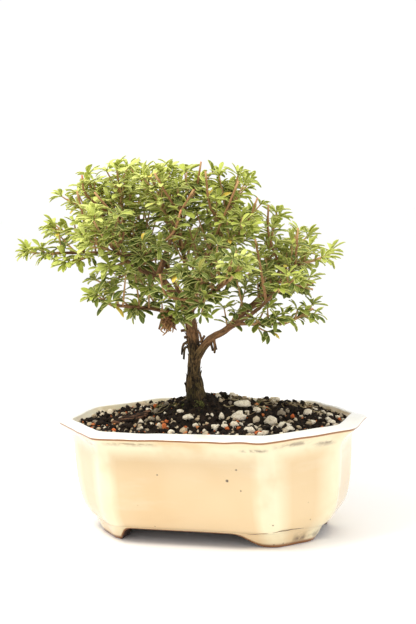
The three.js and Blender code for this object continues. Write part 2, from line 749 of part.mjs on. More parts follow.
const neighbours = [];
remember(neighbours, woodSolid);
remember(neighbours, potSolid);
SPRAYS.forEach((entry, index) => {
  const seed = 101 + 37 * index;
  const solid = spray(entry, seed, neighbours);
  remember(neighbours, solid);
  addPiece(`leafy_spray_${String(index + 1).padStart(2, '0')}`, solid, LEAF);
});

const bounds = new THREE.Box3().setFromObject(whole);
const middle = bounds.getCenter(new THREE.Vector3());
whole.position.set(-middle.x, -middle.y, -bounds.min.z);

const bonsai = new THREE.Group();
bonsai.add(whole);

export default bonsai;
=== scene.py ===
from functools import cache
from math import atan2, cos, exp, hypot, pi, radians, sin, sqrt
from random import Random

import bmesh
import bpy
from mathutils import Matrix, Vector, noise


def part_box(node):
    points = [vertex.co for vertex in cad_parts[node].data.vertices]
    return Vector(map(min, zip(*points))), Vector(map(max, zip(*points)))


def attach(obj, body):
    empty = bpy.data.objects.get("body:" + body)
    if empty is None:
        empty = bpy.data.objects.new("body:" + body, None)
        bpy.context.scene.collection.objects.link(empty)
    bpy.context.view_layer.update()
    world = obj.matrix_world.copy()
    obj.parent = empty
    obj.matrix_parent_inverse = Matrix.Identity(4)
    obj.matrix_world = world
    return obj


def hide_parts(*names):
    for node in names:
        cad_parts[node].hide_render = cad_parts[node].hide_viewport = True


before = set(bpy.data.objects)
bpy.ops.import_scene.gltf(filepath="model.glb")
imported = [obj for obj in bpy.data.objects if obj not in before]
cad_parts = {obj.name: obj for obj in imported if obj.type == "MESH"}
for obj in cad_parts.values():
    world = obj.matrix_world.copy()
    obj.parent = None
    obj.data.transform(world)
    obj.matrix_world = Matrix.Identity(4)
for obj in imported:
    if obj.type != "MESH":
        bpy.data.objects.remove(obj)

scene = bpy.context.scene
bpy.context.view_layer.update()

# Camera. The picture was taken from just above the rim, a little to the right of the pot's
# front, with a short telephoto lens. Places are in millimetres from the middle of the pot's underside.
MM = 0.001
POT_LOW, POT_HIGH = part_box("pot")
POT_MIDDLE = Vector(((POT_LOW.x + POT_HIGH.x) / 2, (POT_LOW.y + POT_HIGH.y) / 2, POT_LOW.z))
PICTURE_HEIGHT = 624
FOCAL_PIXELS = 1216
CAMERA_DISTANCE = 800
CAMERA_ELEVATION = radians(6)
CAMERA_TURN = radians(19)
CAMERA_ROLL = radians(-2.46)
CAMERA_AIM = Vector((1.6, 0, 144.4))
FARTHEST_SEEN = 20


def place(point):
    """A point of the frame, in metres, for one in millimetres from the pot's middle."""
    return POT_MIDDLE + MM * Vector(point)


def add_camera():
    turn = Matrix.Rotation(CAMERA_TURN, 3, "Z")
    back = Vector((0, -cos(CAMERA_ELEVATION), sin(CAMERA_ELEVATION)))
    right = Vector((1, 0, 0))
    up = back.cross(right)
    rolled_right = cos(CAMERA_ROLL) * right + sin(CAMERA_ROLL) * up
    rolled_up = cos(CAMERA_ROLL) * up - sin(CAMERA_ROLL) * right
    columns = [turn @ axis for axis in (rolled_right, rolled_up, back)]
    matrix = Matrix(columns).transposed().to_4x4()
    matrix.translation = place(turn @ (CAMERA_AIM + CAMERA_DISTANCE * back))
    data = bpy.data.cameras.new("camera")
    data.sensor_fit = "VERTICAL"
    data.lens = FOCAL_PIXELS / PICTURE_HEIGHT * data.sensor_height
    data.clip_end = FARTHEST_SEEN
    camera = bpy.data.objects.new("camera", data)
    camera.matrix_world = matrix
    scene.collection.objects.link(camera)
    scene.camera = camera


add_camera()

# Studio. A white room: an even white sky, a large soft lamp above the left shoulder of the
# camera, a weak one from the right, and a white floor that the pot shades softly.
SKY_STRENGTH = 1.03
SKY_COLOR = (1, 1, 1, 1)
FLOOR_COLOR = (0.985, 0.98, 0.972, 1)
FLOOR_ROUGHNESS = 0.8
FLOOR_GLOSS = 0.2
FLOOR_HALF = 8
LAMP_AIM = (0, 0, 110)
LAMPS = [
    ("key_lamp", (-260, -330, 800), 0.35, 4.6, (1, 0.96, 0.9)),
    ("side_lamp", (760, 60, 330), 0.5, 1, (0.98, 1, 1)),
]


def add_sky():
    world = bpy.data.worlds.new("white_room")
    world.use_nodes = True
    background = world.node_tree.nodes["Background"]
    background.inputs["Color"].default_value = SKY_COLOR
    background.inputs["Strength"].default_value = SKY_STRENGTH
    scene.world = world


def add_lamp(name, point, size, power, color):
    data = bpy.data.lights.new(name, "AREA")
    data.shape = "DISK"
    data.size = size
    data.energy = power
    data.color = color
    lamp = bpy.data.objects.new(name, data)
    lamp.location = place(point)
    aim = place(LAMP_AIM) - lamp.location
    lamp.rotation_euler = aim.to_track_quat("-Z", "Y").to_euler()
    scene.collection.objects.link(lamp)


def as_mesh(bm, name):
    """A mesh of the scene with what the bmesh holds, which is freed."""
    mesh = bpy.data.meshes.new(name)
    bm.to_mesh(mesh)
    bm.free()
    return mesh


def add_floor():
    bm = bmesh.new()
    bmesh.ops.create_grid(bm, x_segments=4, y_segments=4, size=FLOOR_HALF)
    mesh = as_mesh(bm, "floor")
    paper = bpy.data.materials.new("white_paper")
    paper.use_nodes = True
    shader = paper.node_tree.nodes["Principled BSDF"]
    shader.inputs["Base Color"].default_value = FLOOR_COLOR
    shader.inputs["Roughness"].default_value = FLOOR_ROUGHNESS
    shader.inputs["Specular IOR Level"].default_value = FLOOR_GLOSS
    mesh.materials.append(paper)
    floor = bpy.data.objects.new("floor", mesh)
    scene.collection.objects.link(floor)


scene.view_settings.view_transform = "Standard"
add_sky()
for lamp in LAMPS:
    add_lamp(*lamp)
add_floor()

# Pot. Press-moulded stoneware with a cream glaze: eight faces with soft corners, a flared lip that
# was trimmed by hand, and four bracket feet left between arches cut in the foot ring.
RIM_HALF_LENGTH = 101.6
RIM_HALF_DEPTH = 68.6
CHAMFER_LENGTH = 46.2
CHAMFER_DEPTH = 47.8
CORNER_RADIUS = 12
CORNER_POINTS = 7
CHAMFER_EASE = 0.72
FACE_STEPS = (20, 10, 48, 10) * 2
CHAMFER_TURN = atan2(CHAMFER_LENGTH, CHAMFER_DEPTH)
FOOT_HEIGHT = 8.5
FOOT_THICKNESS = 14
FOOT_EDGE = 1.2
FOOT_WEAR = 0.8
UNDERSIDE = 9
FLOOR_TOP = 15
DRAIN_RADIUS = 6.5
DRAIN_OFFSET = 38

# The arches between the feet: each long one is steep at one end and an ogee at the other
LONG_SIDE_SHARE = 0.9
STEEP_END = -42
STEEP_RUN = 8
OGEE_END = 26
OGEE_RUN = 21
END_ARCH_HALF = 8
END_ARCH_RUN = 9

# How unevenly the clay dried: waves in the lip and the wall, and a warp of the whole rim
LIP_START = 72
LIP_CREST = 73
LIP_WIDTH = 10.2
LIP_WAVE = 0.7
LIP_WAVE_LENGTH = 17
RIM_WARP = 0.004
RIM_WARP_LENGTH = 24
WALL_WAVE = 0.5
WALL_WAVE_LENGTH = 31
ROWS_PER_STEP = 4
HOLLOW_RINGS = (0.3, 0.6, 0.85, 0.97)
RISING_ROWS = (0.35, 0.7)

# The pot's section, in rows of (inset from the rim's outline, height)
WALL = [
    (28.5, 0), (24.2, 8.5), (19.5, 12.5), (14.8, 20),
    (12, 32), (10.6, 48), (10.1, 58), (9.8, 60.5),
]
LIP_UNDER = [(9.8, 60.5), (8.9, 63.2), (6.9, 66.4), (3.6, 69.5), (1.2, 71.1)]
LIP_EDGE = [(0.4, 71.7), (0, 72.4), (0.1, 73.2), (0.9, 73.9)]
LIP_TOP = [(0.9, 73.9), (4, 74.8), (7.6, 75.5), (9, 75.6), (10, 75.2), (10.5, 74)]
INSIDE = [(10.5, 74), (14.6, 66), (15.8, 48), (17.8, 32), (22, 21), (31, 15)]

# The glaze, from where it pools to where it breaks on an edge, and the bare clay
GLAZE_POOLED = (0.70, 0.50, 0.27)
GLAZE = (0.73, 0.55, 0.32)
GLAZE_PALE = (0.76, 0.62, 0.42)
GLAZE_THIN_AND_HIGHLIGHT = (0.84, 0.77, 0.54)
# The lip's top: thin pale glaze, and a painted highlight from the light above
GLAZE_LIP_AND_HIGHLIGHT = (0.89, 0.86, 0.77)
GLAZE_DARK_MARK = (0.16, 0.11, 0.08)
GLAZE_EDGE = (0.27, 0.11, 0.036)
GLAZE_ROUGHNESS = 0.16
# Bare clay, painted darker than the clay is: painted shade under the pot and in its foot
CLAY_DARKENED_FOR_SHADE = (0.070, 0.024, 0.008)
CLAY_ROUGHNESS = 0.75

# The marks in the glaze: specks by place and size, and dark marks by place, length and height: stains low on
# the wall and by the feet, and dark lines just under the lip
SPECK = (0.07, 0.045, 0.03)
SPECK_BLUR = 0.9
SPECKS = [
    (29.2, -57.6, 46.4, 1.5), (35.4, -58.1, 53.6, 0.9), (37.8, -57.3, 40.4, 0.7),
    (-16.7, -57.9, 48.5, 0.7), (-31.6, -55.6, 28, 0.6), (-23.2, -49.2, 13, 0.9),
    (74.2, -35.8, 29.4, 0.7), (74.2, -32.1, 17.6, 0.8), (55.6, -51.4, 17.7, 0.9),
    (-57.7, -55.8, 64.6, 0.8), (-53.8, -58.4, 64, 0.6), (52.5, -40.4, 2.2, 0.7),
    (57.6, -37.5, 2.6, 0.7), (54.8, -58.3, 59.3, 0.6), (-8, 58, 44, 0.9), (41, 57.6, 30, 0.7),
    (-90.5, 6, 40, 0.8), (88, 11, 26, 0.7),
]
DARK_MARKS = [
    (-32, -62, 69, 20, 1.6), (70, -49, 68.6, 14, 2), (-84, -35, 67, 7, 2), (80, -24, 5, 9, 5),
    (38, 62, 69, 18, 1.6), (-66, 52, 68, 9, 2), (-76, -32, 13, 8, 3), (-62, -55, 67, 12, 1.8),
    (67, -29.5, 3.5, 6, 6), (48, -60, 66.6, 9, 1.6), (86, -30, 66, 8, 2.2),
]
SEAM = [
    (30, -44, 8.4), (40, -46, 9.6), (50, -47, 11.6),
    (58, -45, 12.6), (66, -37, 12.2), (75, -27, 11),
]
SEAM_BACK = [(-34, 45, 9), (-48, 46, 12), (-60, 42, 12.4), (-70, 33, 11.4)]
SEAM_WIDTH = 0.5

# Where the glaze is thin: at corners, whose pale band is also a painted highlight, in the cove under the
# lip, and inside but for the right
CORNER_HIGHLIGHT_FADE = 3
COVE_LOW = 56
COVE_FADE = 9
INSIDE_THICKER_FROM = 40
INSIDE_THICKER_OVER = 30
INSIDE_THICKENING = 0.7
# The inside wall takes a little of the lip's colour: painted light, as the crown shades it
INSIDE_PAINTED_LIGHT = 0.1


class SmoothRoute:
    """A smooth curve through the given points; t runs along it from 0 to 1."""

    def __init__(self, points):
        places = [Vector(point) for point in points]
        self.knots = [2 * places[0] - places[1], *places, 2 * places[-1] - places[-2]]
        self.stretches = len(places) - 1

    def at(self, t):
        along = min(max(t, 0), 1) * self.stretches
        first = min(int(along), self.stretches - 1)
        a, b, c, d = self.knots[first:first + 4]
        share = along - first
        start, finish = (c - a) / 2, (d - b) / 2
        bend = share ** 2 * (3 * (c - b) - 2 * start - finish)
        return b + share * start + bend + share ** 3 * (2 * (b - c) + start + finish)


def smooth_row(points, steps):
    """Points along a smooth curve through the given ones, steps to each stretch."""
    route = SmoothRoute(points)
    total = route.stretches * steps
    return [route.at(step / total) for step in range(total + 1)]


def clamp(value):
    """The value, held between 0 and 1."""
    return min(1, max(0, value))


def between(table, height):
    """The wall's inset at a height, from its (inset, height) table."""
    for (inset, low), (following, high) in zip(table, table[1:]):
        if height <= high:
            return inset + (following - inset) * max(0, height - low) / (high - low)
    return table[-1][0]


def pot_faces(inset):
    """The direction and distance of the pot's eight faces, moved in by the inset."""
    across = CHAMFER_LENGTH * RIM_HALF_DEPTH + (RIM_HALF_LENGTH - CHAMFER_LENGTH) * CHAMFER_DEPTH
    chamfer = across / hypot(CHAMFER_LENGTH, CHAMFER_DEPTH) - CHAMFER_EASE * inset
    half_turn = [
        (0, RIM_HALF_LENGTH - inset), (CHAMFER_TURN, chamfer),
        (pi / 2, RIM_HALF_DEPTH - inset), (pi - CHAMFER_TURN, chamfer),
    ]
    return half_turn + [(turn + pi, distance) for turn, distance in half_turn]


def corner_arc(corner, inset):
    """The points of one round corner of the pot's outline, moved in by the inset."""
    faces = pot_faces(inset)
    faces.append((2 * pi, faces[0][1]))
    (a, reach_a), (b, reach_b) = faces[corner], faces[corner + 1]
    reach_a -= CORNER_RADIUS
    reach_b -= CORNER_RADIUS
    spread = sin(b - a)
    middle = Vector((reach_a * sin(b) - reach_b * sin(a), reach_b * cos(a) - reach_a * cos(b)))
    middle /= spread
    turns = [a + (b - a) * i / (CORNER_POINTS - 1) for i in range(CORNER_POINTS)]
    return [middle + CORNER_RADIUS * Vector((cos(turn), sin(turn))) for turn in turns]


@cache
def outline(inset):
    """The pot's outline at one inset: round corners joined by faces."""
    corners = [corner_arc(corner, inset) for corner in range(8)]
    points = []
    for corner, arc in enumerate(corners):
        following = corners[(corner + 1) % 8][0]
        steps = FACE_STEPS[(corner + 1) % 8]
        points += arc
        points += [arc[-1].lerp(following, step / steps) for step in range(1, steps)]
    return points


def arch_height(x, y):
    """How high the arches of the foot ring reach: steep at one end, a long ogee at the other."""
    along = x if y < 0 else -x
    if abs(y) > abs(x) * RIM_HALF_DEPTH / RIM_HALF_LENGTH * LONG_SIDE_SHARE:
        if along < STEEP_END:
            return FOOT_HEIGHT * sqrt(max(0, 1 - ((along - STEEP_END) / STEEP_RUN) ** 2))
        slope = clamp((along - OGEE_END) / OGEE_RUN)
        return FOOT_HEIGHT * (1 - slope * slope * (3 - 2 * slope))
    slope = clamp((abs(y) - END_ARCH_HALF) / END_ARCH_RUN)
    return FOOT_HEIGHT * (1 - slope ** 3)


def outline_at(inset, side):
    """One point of the outline, for an inset that changes round the pot."""
    return outline(round(inset, 2))[side]


def spun_skin(bm, rows, sides, where):
    """Adds a closed skin: a profile spun once round, each point then moved by where."""
    first = len(bm.verts)
    profile = [bm.verts.new((row + 1, 0, 0)) for row in range(rows)]
    edges = [bm.edges.new(pair) for pair in zip(profile, profile[1:])]
    bmesh.ops.spin(bm, geom=profile + edges, axis=(0, 0, 1), cent=(0, 0, 0), angle=2 * pi,
                   steps=sides, use_merge=True)
    bm.verts.ensure_lookup_table()
    skin = bm.verts[first:]
    rims = dict.fromkeys(edge for vert in skin for edge in vert.link_edges if edge.is_boundary)
    bmesh.ops.holes_fill(bm, edges=list(rims), sides=0)
    for vert in skin:
        row = round(hypot(vert.co.x, vert.co.y)) - 1
        side = round(atan2(vert.co.y, vert.co.x) * sides / (2 * pi)) % sides
        where(vert, row, side)
    faces = dict.fromkeys(face for vert in skin for face in vert.link_faces)
    bmesh.ops.recalc_face_normals(bm, faces=list(faces))
    return skin


def finished(bm, name, materials, replaced=()):
    """Makes the bmesh a smooth piece on the part's one body, in place of the nodes replaced."""
    mesh = as_mesh(bm, name)
    for material in materials:
        mesh.materials.append(material)
    mesh.shade_smooth()
    piece = bpy.data.objects.new(name, mesh)
    scene.collection.objects.link(piece)
    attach(piece, "root")
    if replaced:
        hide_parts(*replaced)
    return piece


def cut_from(piece, bm):
    """Cuts the closed shape out of the piece."""
    drill = bpy.data.objects.new("drill", as_mesh(bm, "drill"))
    scene.collection.objects.link(drill)
    cut = piece.modifiers.new("cut", "BOOLEAN")
    cut.operation = "DIFFERENCE"
    cut.solver = "EXACT"
    cut.object = drill
    graph = bpy.context.evaluated_depsgraph_get()
    whole = piece.data
    piece.data = bpy.data.meshes.new_from_object(piece.evaluated_get(graph))
    piece.data.name = piece.name
    piece.modifiers.clear()
    bpy.data.meshes.remove(whole)
    bpy.data.objects.remove(drill)


class Finish:
    """A material in the making: its Principled shader and short ways to add nodes."""

    def __init__(self, name, roughness, specular=0.5, coat=0, coat_roughness=0.03):
        self.material = bpy.data.materials.new(name)
        self.material.use_nodes = True
        self.tree = self.material.node_tree
        self.shader = self.tree.nodes["Principled BSDF"]
        self.shader.inputs["Roughness"].default_value = roughness
        self.shader.inputs["Specular IOR Level"].default_value = specular
        self.shader.inputs["Coat Weight"].default_value = coat
        self.shader.inputs["Coat Roughness"].default_value = coat_roughness

    def add(self, kind, inputs=None, **settings):
        """A node with its settings, and with values or sockets for its inputs."""
        node = self.tree.nodes.new(f"ShaderNode{kind}")
        for key, value in settings.items():
            setattr(node, key, value)
        for key, value in (inputs or {}).items():
            self.feed(node.inputs[key], value)
        return node

    def feed(self, socket, value):
        """Links a socket to the input, or sets the input to a number or colour."""
        if isinstance(value, bpy.types.NodeSocket):
            self.tree.links.new(value, socket)
        elif isinstance(value, tuple) and socket.type == "RGBA":
            socket.default_value = (*value, 1)
        else:
            socket.default_value = value

    def where(self):
        """The place on the piece, in metres."""
        return self.add("TexCoord").outputs["Object"]

    def drawn(self, name, output="Fac"):
        """A value that the mesh carries, point by point."""
        return self.add("Attribute", attribute_name=name).outputs[output]

    def cloud(self, scale, detail=3, rough=0.55, at=None, stretch=(1, 1, 1), seed=0):
        """Soft noise between 0 and 1; scale is in lumps to a metre."""
        vector = at or self.where()
        moved = self.add("Mapping", {"Vector": vector, "Scale": stretch, "Location": (seed, seed, 0)})
        texture = self.add("TexNoise", {
            "Vector": moved.outputs["Vector"], "Scale": scale, "Detail": detail, "Roughness": rough,
        })
        return texture.outputs["Fac"]

    def ramp(self, value, low, high, to_low=0.0, to_high=1.0):
        """The value, stretched from between low and high."""
        return self.add("MapRange", {
            "Value": value, "From Min": low, "From Max": high, "To Min": to_low, "To Max": to_high,
        }, interpolation_type="SMOOTHSTEP").outputs["Result"]

    def patches(self, scale, low, high, most=1, **cloud):
        """Soft-edged patches: 0 where the noise is low, and the most where it is high."""
        return self.ramp(self.cloud(scale, **cloud), low, high, 0, most)

    def math(self, a, b, operation="MULTIPLY"):
        """Two values multiplied, or combined by another operation."""
        return self.add("Math", {0: a, 1: b}, operation=operation).outputs[0]

    def blend(self, share, a, b):
        """Colour a turning to colour b by the share."""
        return self.add("Mix", {0: share, 6: a, 7: b}, data_type="RGBA").outputs[2]

    def bump(self, height, distance, under=None):
        """Relief of a height between 0 and 1 times the distance, over the relief under it."""
        inputs = {"Height": height, "Distance": distance}
        if under:
            inputs["Normal"] = under
        return self.add("Bump", inputs).outputs["Normal"]

    def done(self, **sockets):
        """The material, once the shader's sockets are fed."""
        for name, value in sockets.items():
            self.feed(self.shader.inputs[name.replace("_", " ")], value)
        return self.material


def cream_glaze():
    """A glossy cream glaze that pools peach, thins to a greenish white and breaks brown on edges."""
    finish = Finish("cream_glaze", GLAZE_ROUGHNESS, coat=0.4, coat_roughness=0.06)
    pooled = finish.patches(16, 0.35, 0.65, detail=2)
    color = finish.blend(pooled, GLAZE_POOLED, GLAZE)
    streaks = finish.patches(70, 0.5, 0.8, 0.6, detail=4, stretch=(0.22, 0.22, 1), seed=3)
    color = finish.blend(streaks, color, GLAZE_PALE)
    # Paler where the glaze is thin; at the corners this pale band is also a painted highlight
    thin = finish.math(finish.drawn("thin"), finish.patches(35, 0.2, 0.6, 0.85, seed=5))
    color = finish.blend(thin, color, GLAZE_THIN_AND_HIGHLIGHT)
    # The lip's top turns near white: thin glaze there, and a painted highlight
    color = finish.blend(finish.drawn("lip"), color, GLAZE_LIP_AND_HIGHLIGHT)
    dark_mark = finish.math(finish.drawn("dark_mark"), finish.patches(150, 0.35, 0.6, detail=4, seed=8))
    color = finish.blend(dark_mark, color, GLAZE_DARK_MARK)
    pinholes = finish.patches(1400, 0.72, 0.8, 0.35, detail=2, seed=9)
    color = finish.blend(pinholes, color, CLAY_DARKENED_FOR_SHADE)
    for x, y, z, size in SPECKS:
        away = finish.add("VectorMath", {0: finish.where(), 1: place((x, y, z))}, operation="DISTANCE")
        wavy = finish.math(finish.cloud(900, detail=1, seed=x), SPECK_BLUR * MM)
        apart = finish.math(away.outputs["Value"], wavy, "ADD")
        spot = finish.ramp(apart, 0.55 * size * MM, (0.6 * size + SPECK_BLUR) * MM, 0.95, 0)
        color = finish.blend(spot, color, SPECK)
    ragged = finish.ramp(finish.cloud(110, detail=4, seed=7), 0.15, 0.4, 0.3, 1)
    worn = finish.ramp(finish.math(finish.drawn("edge"), ragged), 0.25, 0.8)
    color = finish.blend(worn, color, GLAZE_EDGE)
    # The bare underside and inner foot, in the darkened clay colour that paints the shade under the pot
    bare = finish.drawn("bare")
    color = finish.blend(bare, color, CLAY_DARKENED_FOR_SHADE)
    rough = finish.ramp(bare, 0, 1, GLAZE_ROUGHNESS, CLAY_ROUGHNESS)
    dents = finish.bump(finish.cloud(45, detail=1, seed=2), 0.35 * MM)
    skin = finish.bump(finish.cloud(700, detail=2, seed=4), 0.02 * MM, under=dents)
    return finish.done(Base_Color=color, Roughness=rough, Normal=skin)


def pot_rows():
    """The pot's section, from the hollow under its floor, round the foot, over the lip to its floor."""
    rows = [("hollow", share, UNDERSIDE) for share in HOLLOW_RINGS]
    rows += [("inner_foot", 0, rise) for rise in (1, 0.5)]
    rows += [("foot", FOOT_THICKNESS - FOOT_EDGE, 0), ("foot", FOOT_THICKNESS / 2, 0)]
    rows += [("foot", FOOT_EDGE, 0), ("foot", 0.35, 0.35), ("foot", 0, FOOT_EDGE)]
    rows += [("rising", 0, share) for share in RISING_ROWS]
    wall = smooth_row(WALL, ROWS_PER_STEP)[ROWS_PER_STEP + 1:] + smooth_row(LIP_UNDER, 2)[1:]
    rows += [("wall", *spot) for spot in wall]
    rows += [("edge", *spot) for spot in smooth_row(LIP_EDGE, 2)]
    inside = smooth_row(LIP_TOP, 2)[1:] + smooth_row(INSIDE, ROWS_PER_STEP)[1:]
    return rows + [("inside", *spot) for spot in inside]


def dark_mark_at(point, x, y, z, long, high):
    """How strongly a dark mark, given by its middle, length and height, marks a point of the wall."""
    along = hypot(point.x - x, point.y - y) / long
    return max(0, 1 - along ** 4) * max(0, 1 - abs(point.z - z) / high)


def make_pot():
    rows = pot_rows()
    outlines = {inset: outline(inset) for _, inset, _ in rows}
    sides = len(outline(0))
    foot_line = [arch_height(*point) for point in outline(WALL[1][0])]
    hollow = outline(FOOT_THICKNESS + WALL[0][0])
    first_wall = next(height for kind, _, height in rows if kind == "wall")
    # Corners are paler: thin glaze, and a painted highlight on the round edges
    corner_thin_and_highlight = []
    for face in range(8):
        steps = FACE_STEPS[(face + 1) % 8]
        corner_thin_and_highlight += [1] * CORNER_POINTS
        corner_thin_and_highlight += [max(0, 1 - min(step, steps - step) / CORNER_HIGHLIGHT_FADE) for step in range(1, steps)]
    bm = bmesh.new()
    names = ("edge", "thin", "bare", "lip", "dark_mark")
    edge, thin, bare, lip, dark_mark = [bm.verts.layers.float.new(name) for name in names]

    def where(vert, row, side):
        kind, inset, height = rows[row]
        foot = foot_line[side]
        if kind == "hollow":
            flat = hollow[side] * inset
        elif kind == "inner_foot":
            flat = hollow[side]
            height = foot + (UNDERSIDE - foot) * height
        elif kind == "foot":
            flat = outline_at(between(WALL, foot) + inset, side)
            height += foot
        elif kind == "rising":
            height = foot + FOOT_EDGE + (first_wall - foot - FOOT_EDGE) * height
            flat = outline_at(between(WALL, height), side)
        else:
            flat = outlines[inset][side]
        point = Vector((flat.x, flat.y, height))
        if kind == "edge" or kind == "inside" and height > LIP_START:
            point.z += LIP_WAVE * noise.noise(Vector((flat.x, flat.y, 0)) / LIP_WAVE_LENGTH)
            point *= 1 + RIM_WARP * noise.noise(Vector((flat.x, flat.y, 40)) / RIM_WARP_LENGTH)
        elif kind in ("wall", "rising"):
            dent = WALL_WAVE * noise.noise(point / WALL_WAVE_LENGTH)
            point.x *= 1 + dent / RIM_HALF_LENGTH
            point.y *= 1 + dent / RIM_HALF_DEPTH
        vert.co = place(point)
        vert[edge] = {"edge": float(LIP_START < height < LIP_CREST), "foot": FOOT_WEAR}.get(kind, 0)
        # The lip's top gets the pale glaze and its painted highlight
        on_lip = height > LIP_CREST and (kind == "edge" or kind == "inside" and inset < LIP_WIDTH)
        # A little of that colour on the inside wall is painted light
        vert[lip] = 1 if on_lip else INSIDE_PAINTED_LIGHT * (kind == "inside")
        marked = kind in ("wall", "rising")
        vert[dark_mark] = max(dark_mark_at(point, *spot) for spot in DARK_MARKS) if marked else 0
        cove = clamp((height - COVE_LOW) / COVE_FADE)
        thicker = INSIDE_THICKENING * clamp((flat.x - INSIDE_THICKER_FROM) / INSIDE_THICKER_OVER)
        thinned = {"wall": max(corner_thin_and_highlight[side], cove), "rising": corner_thin_and_highlight[side], "inside": 1 - thicker}
        vert[thin] = thinned.get(kind, 0)
        vert[bare] = float(kind in ("hollow", "inner_foot") or kind == "foot" and inset >= FOOT_EDGE)

    spun_skin(bm, len(rows), sides, where)
    pot = finished(bm, "glazed_pot", [cream_glaze()], ["pot"])
    for side in (-1, 1):
        bm = bmesh.new()
        bmesh.ops.create_cone(bm, cap_ends=True, segments=32, radius1=DRAIN_RADIUS * MM,
                              radius2=DRAIN_RADIUS * MM, depth=3 * FLOOR_TOP * MM)
        bmesh.ops.translate(bm, vec=place((side * DRAIN_OFFSET, 0, FLOOR_TOP)), verts=bm.verts)
        cut_from(pot, bm)


def wall_point(x, y, height):
    """The point of the outer wall at a height that is nearest to a spot."""
    points = outline(round(between(WALL, height), 2))
    flat = min(points, key=lambda spot: hypot(spot.x - x, spot.y - y))
    return Vector((flat.x, flat.y, height))


def make_seam(name, spots):
    """A hairline where the foot was joined on, filled with dark glaze."""
    line = smooth_row([wall_point(*spot) for spot in spots], 6)
    finish = Finish("seam_glaze", 0.4)
    color = finish.blend(finish.patches(300, 0.4, 0.7), GLAZE_DARK_MARK, GLAZE_EDGE)
    material = finish.done(Base_Color=color)
    bm = bmesh.new()

    def where(vert, row, side):
        turn = side * pi / 2
        taper = SEAM_WIDTH / 2 * min(1, 4 * row / len(line), 4 * (1 - row / len(line)) + 0.1)
        outward = Vector((line[row].x, line[row].y, 0)).normalized()
        wander = 0.4 * noise.noise(line[row] / 4)
        middle = line[row] + Vector((0, 0, wander)) - 0.05 * outward
        vert.co = place(middle + taper * (cos(turn) * outward + sin(turn) * Vector((0, 0, 1))))

    spun_skin(bm, len(line), 4, where)
    finished(bm, name, [material])


make_pot()
make_seam("foot_seam_front", SEAM)
make_seam("foot_seam_back", SEAM_BACK)

# Drain screens. A square of black plastic mesh lies over each drain hole, under the soil.
# They are punched sheet, and nothing fixes them. The CAD shape is shown as it is.
SCREEN_SIZE = 22
SCREEN_THICKNESS = 1.2
PLASTIC_BLACK = (0.016, 0.016, 0.018)
PLASTIC_DUSTY = (0.05, 0.05, 0.052)


def black_plastic():
    finish = Finish("black_plastic", 0.6, specular=0.4)
    color = finish.blend(finish.patches(900, 0.3, 0.7), PLASTIC_BLACK, PLASTIC_DUSTY)
    grain = finish.bump(finish.cloud(2500), 0.05 * MM)
    return finish.done(Base_Color=color, Normal=grain)


SCREEN_PLASTIC = black_plastic()
for screen in ("drain_screen_left", "drain_screen_right"):
    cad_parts[screen].data.materials.clear()
    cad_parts[screen].data.materials.append(SCREEN_PLASTIC)

# Soil. Black peat pressed into the pot by hand: nearly level at the front wall, mounded round the
# trunk and heaped behind it. Only the pot holds it, and crumbs lie loose on top.
SOIL_GAP = 0.3
SOIL_EDGE = 71.5
SOIL_EDGE_INSET = 12.4
SOIL_RINGS = 34
MOUND_HEIGHT = 8
MOUND_MIDDLE = (-5, 2)
MOUND_SPREAD = (30, 24)
HEAP_HEIGHT = 9
HEAP_MIDDLE = (12, 20)
HEAP_SPREAD = (66, 27)
LUMP_HEIGHT = 0.6
CRUST_HEIGHT = 1.8
LOW_RIGHT = 2.2
LOW_RIGHT_FROM = 40
LOW_RIGHT_OVER = 35
TRUNK_FOOT = Vector((-8, -3))
TRUNK_HEAP = 5.5
TRUNK_HEAP_RADIUS = 12
TRUNK_HEAP_FORWARD = 4
PEAT_DARK = (0.004, 0.003, 0.002)
PEAT_BROWN = (0.050, 0.029, 0.016)
PEAT_FIBRE = (0.11, 0.075, 0.05)
CRUMB_COUNT = 1700
CRUMB_SIZES = (0.9, 2.8)
LUMP_COUNT = 430
LUMP_SIZES = (2.4, 6)
CRUMB_ROUGHNESS = 0.8

# The turn, in degrees, of the stones that are laid one by one: across the picture, give or take
LAID_TURN = 19
LAID_STRAY = 25


def swell(x, y, middle, spread, flatness=2):
    """A swelling that is 1 at its middle and dies away over its spread."""
    return exp(-((x - middle[0]) / spread[0]) ** flatness - ((y - middle[1]) / spread[1]) ** 2)


def soil_height(x, y):
    """The height of the soil: a mound round the trunk, a long heap behind it, and small lumps."""
    mound = swell(x, y, MOUND_MIDDLE, MOUND_SPREAD)
    heap = swell(x, y, HEAP_MIDDLE, HEAP_SPREAD, flatness=4)
    lumps = sin(x * 0.35) * cos(y * 0.42) + 0.6 * sin(x * 0.83 + y * 0.61)
    trunk_gap = (x - TRUNK_FOOT.x) ** 2 + (y - TRUNK_FOOT.y + TRUNK_HEAP_FORWARD) ** 2
    foot = TRUNK_HEAP * exp(-trunk_gap / TRUNK_HEAP_RADIUS ** 2)
    low = LOW_RIGHT * clamp((x - LOW_RIGHT_FROM) / LOW_RIGHT_OVER)
    return SOIL_EDGE + MOUND_HEIGHT * mound + HEAP_HEIGHT * heap + LUMP_HEIGHT * lumps + foot - low


def on_soil(x, y, margin):
    """Whether a spot lies on the soil, at least the margin away from the pot's wall."""
    faces = pot_faces(SOIL_EDGE_INSET + margin)
    return all(x * cos(turn) + y * sin(turn) < distance for turn, distance in faces)


def black_peat():
    finish = Finish("black_peat", 0.95, specular=0.25)
    lumps = finish.patches(420, 0.35, 0.7, detail=5, rough=0.7)
    color = finish.blend(lumps, PEAT_DARK, PEAT_BROWN)
    fibres = finish.patches(1600, 0.66, 0.74, 0.6, detail=2, seed=3)
    color = finish.blend(fibres, color, PEAT_FIBRE)
    crumbs = finish.bump(finish.cloud(600, detail=5, rough=0.75), 2.2 * MM)
    return finish.done(Base_Color=color, Normal=crumbs)


PEAT = black_peat()


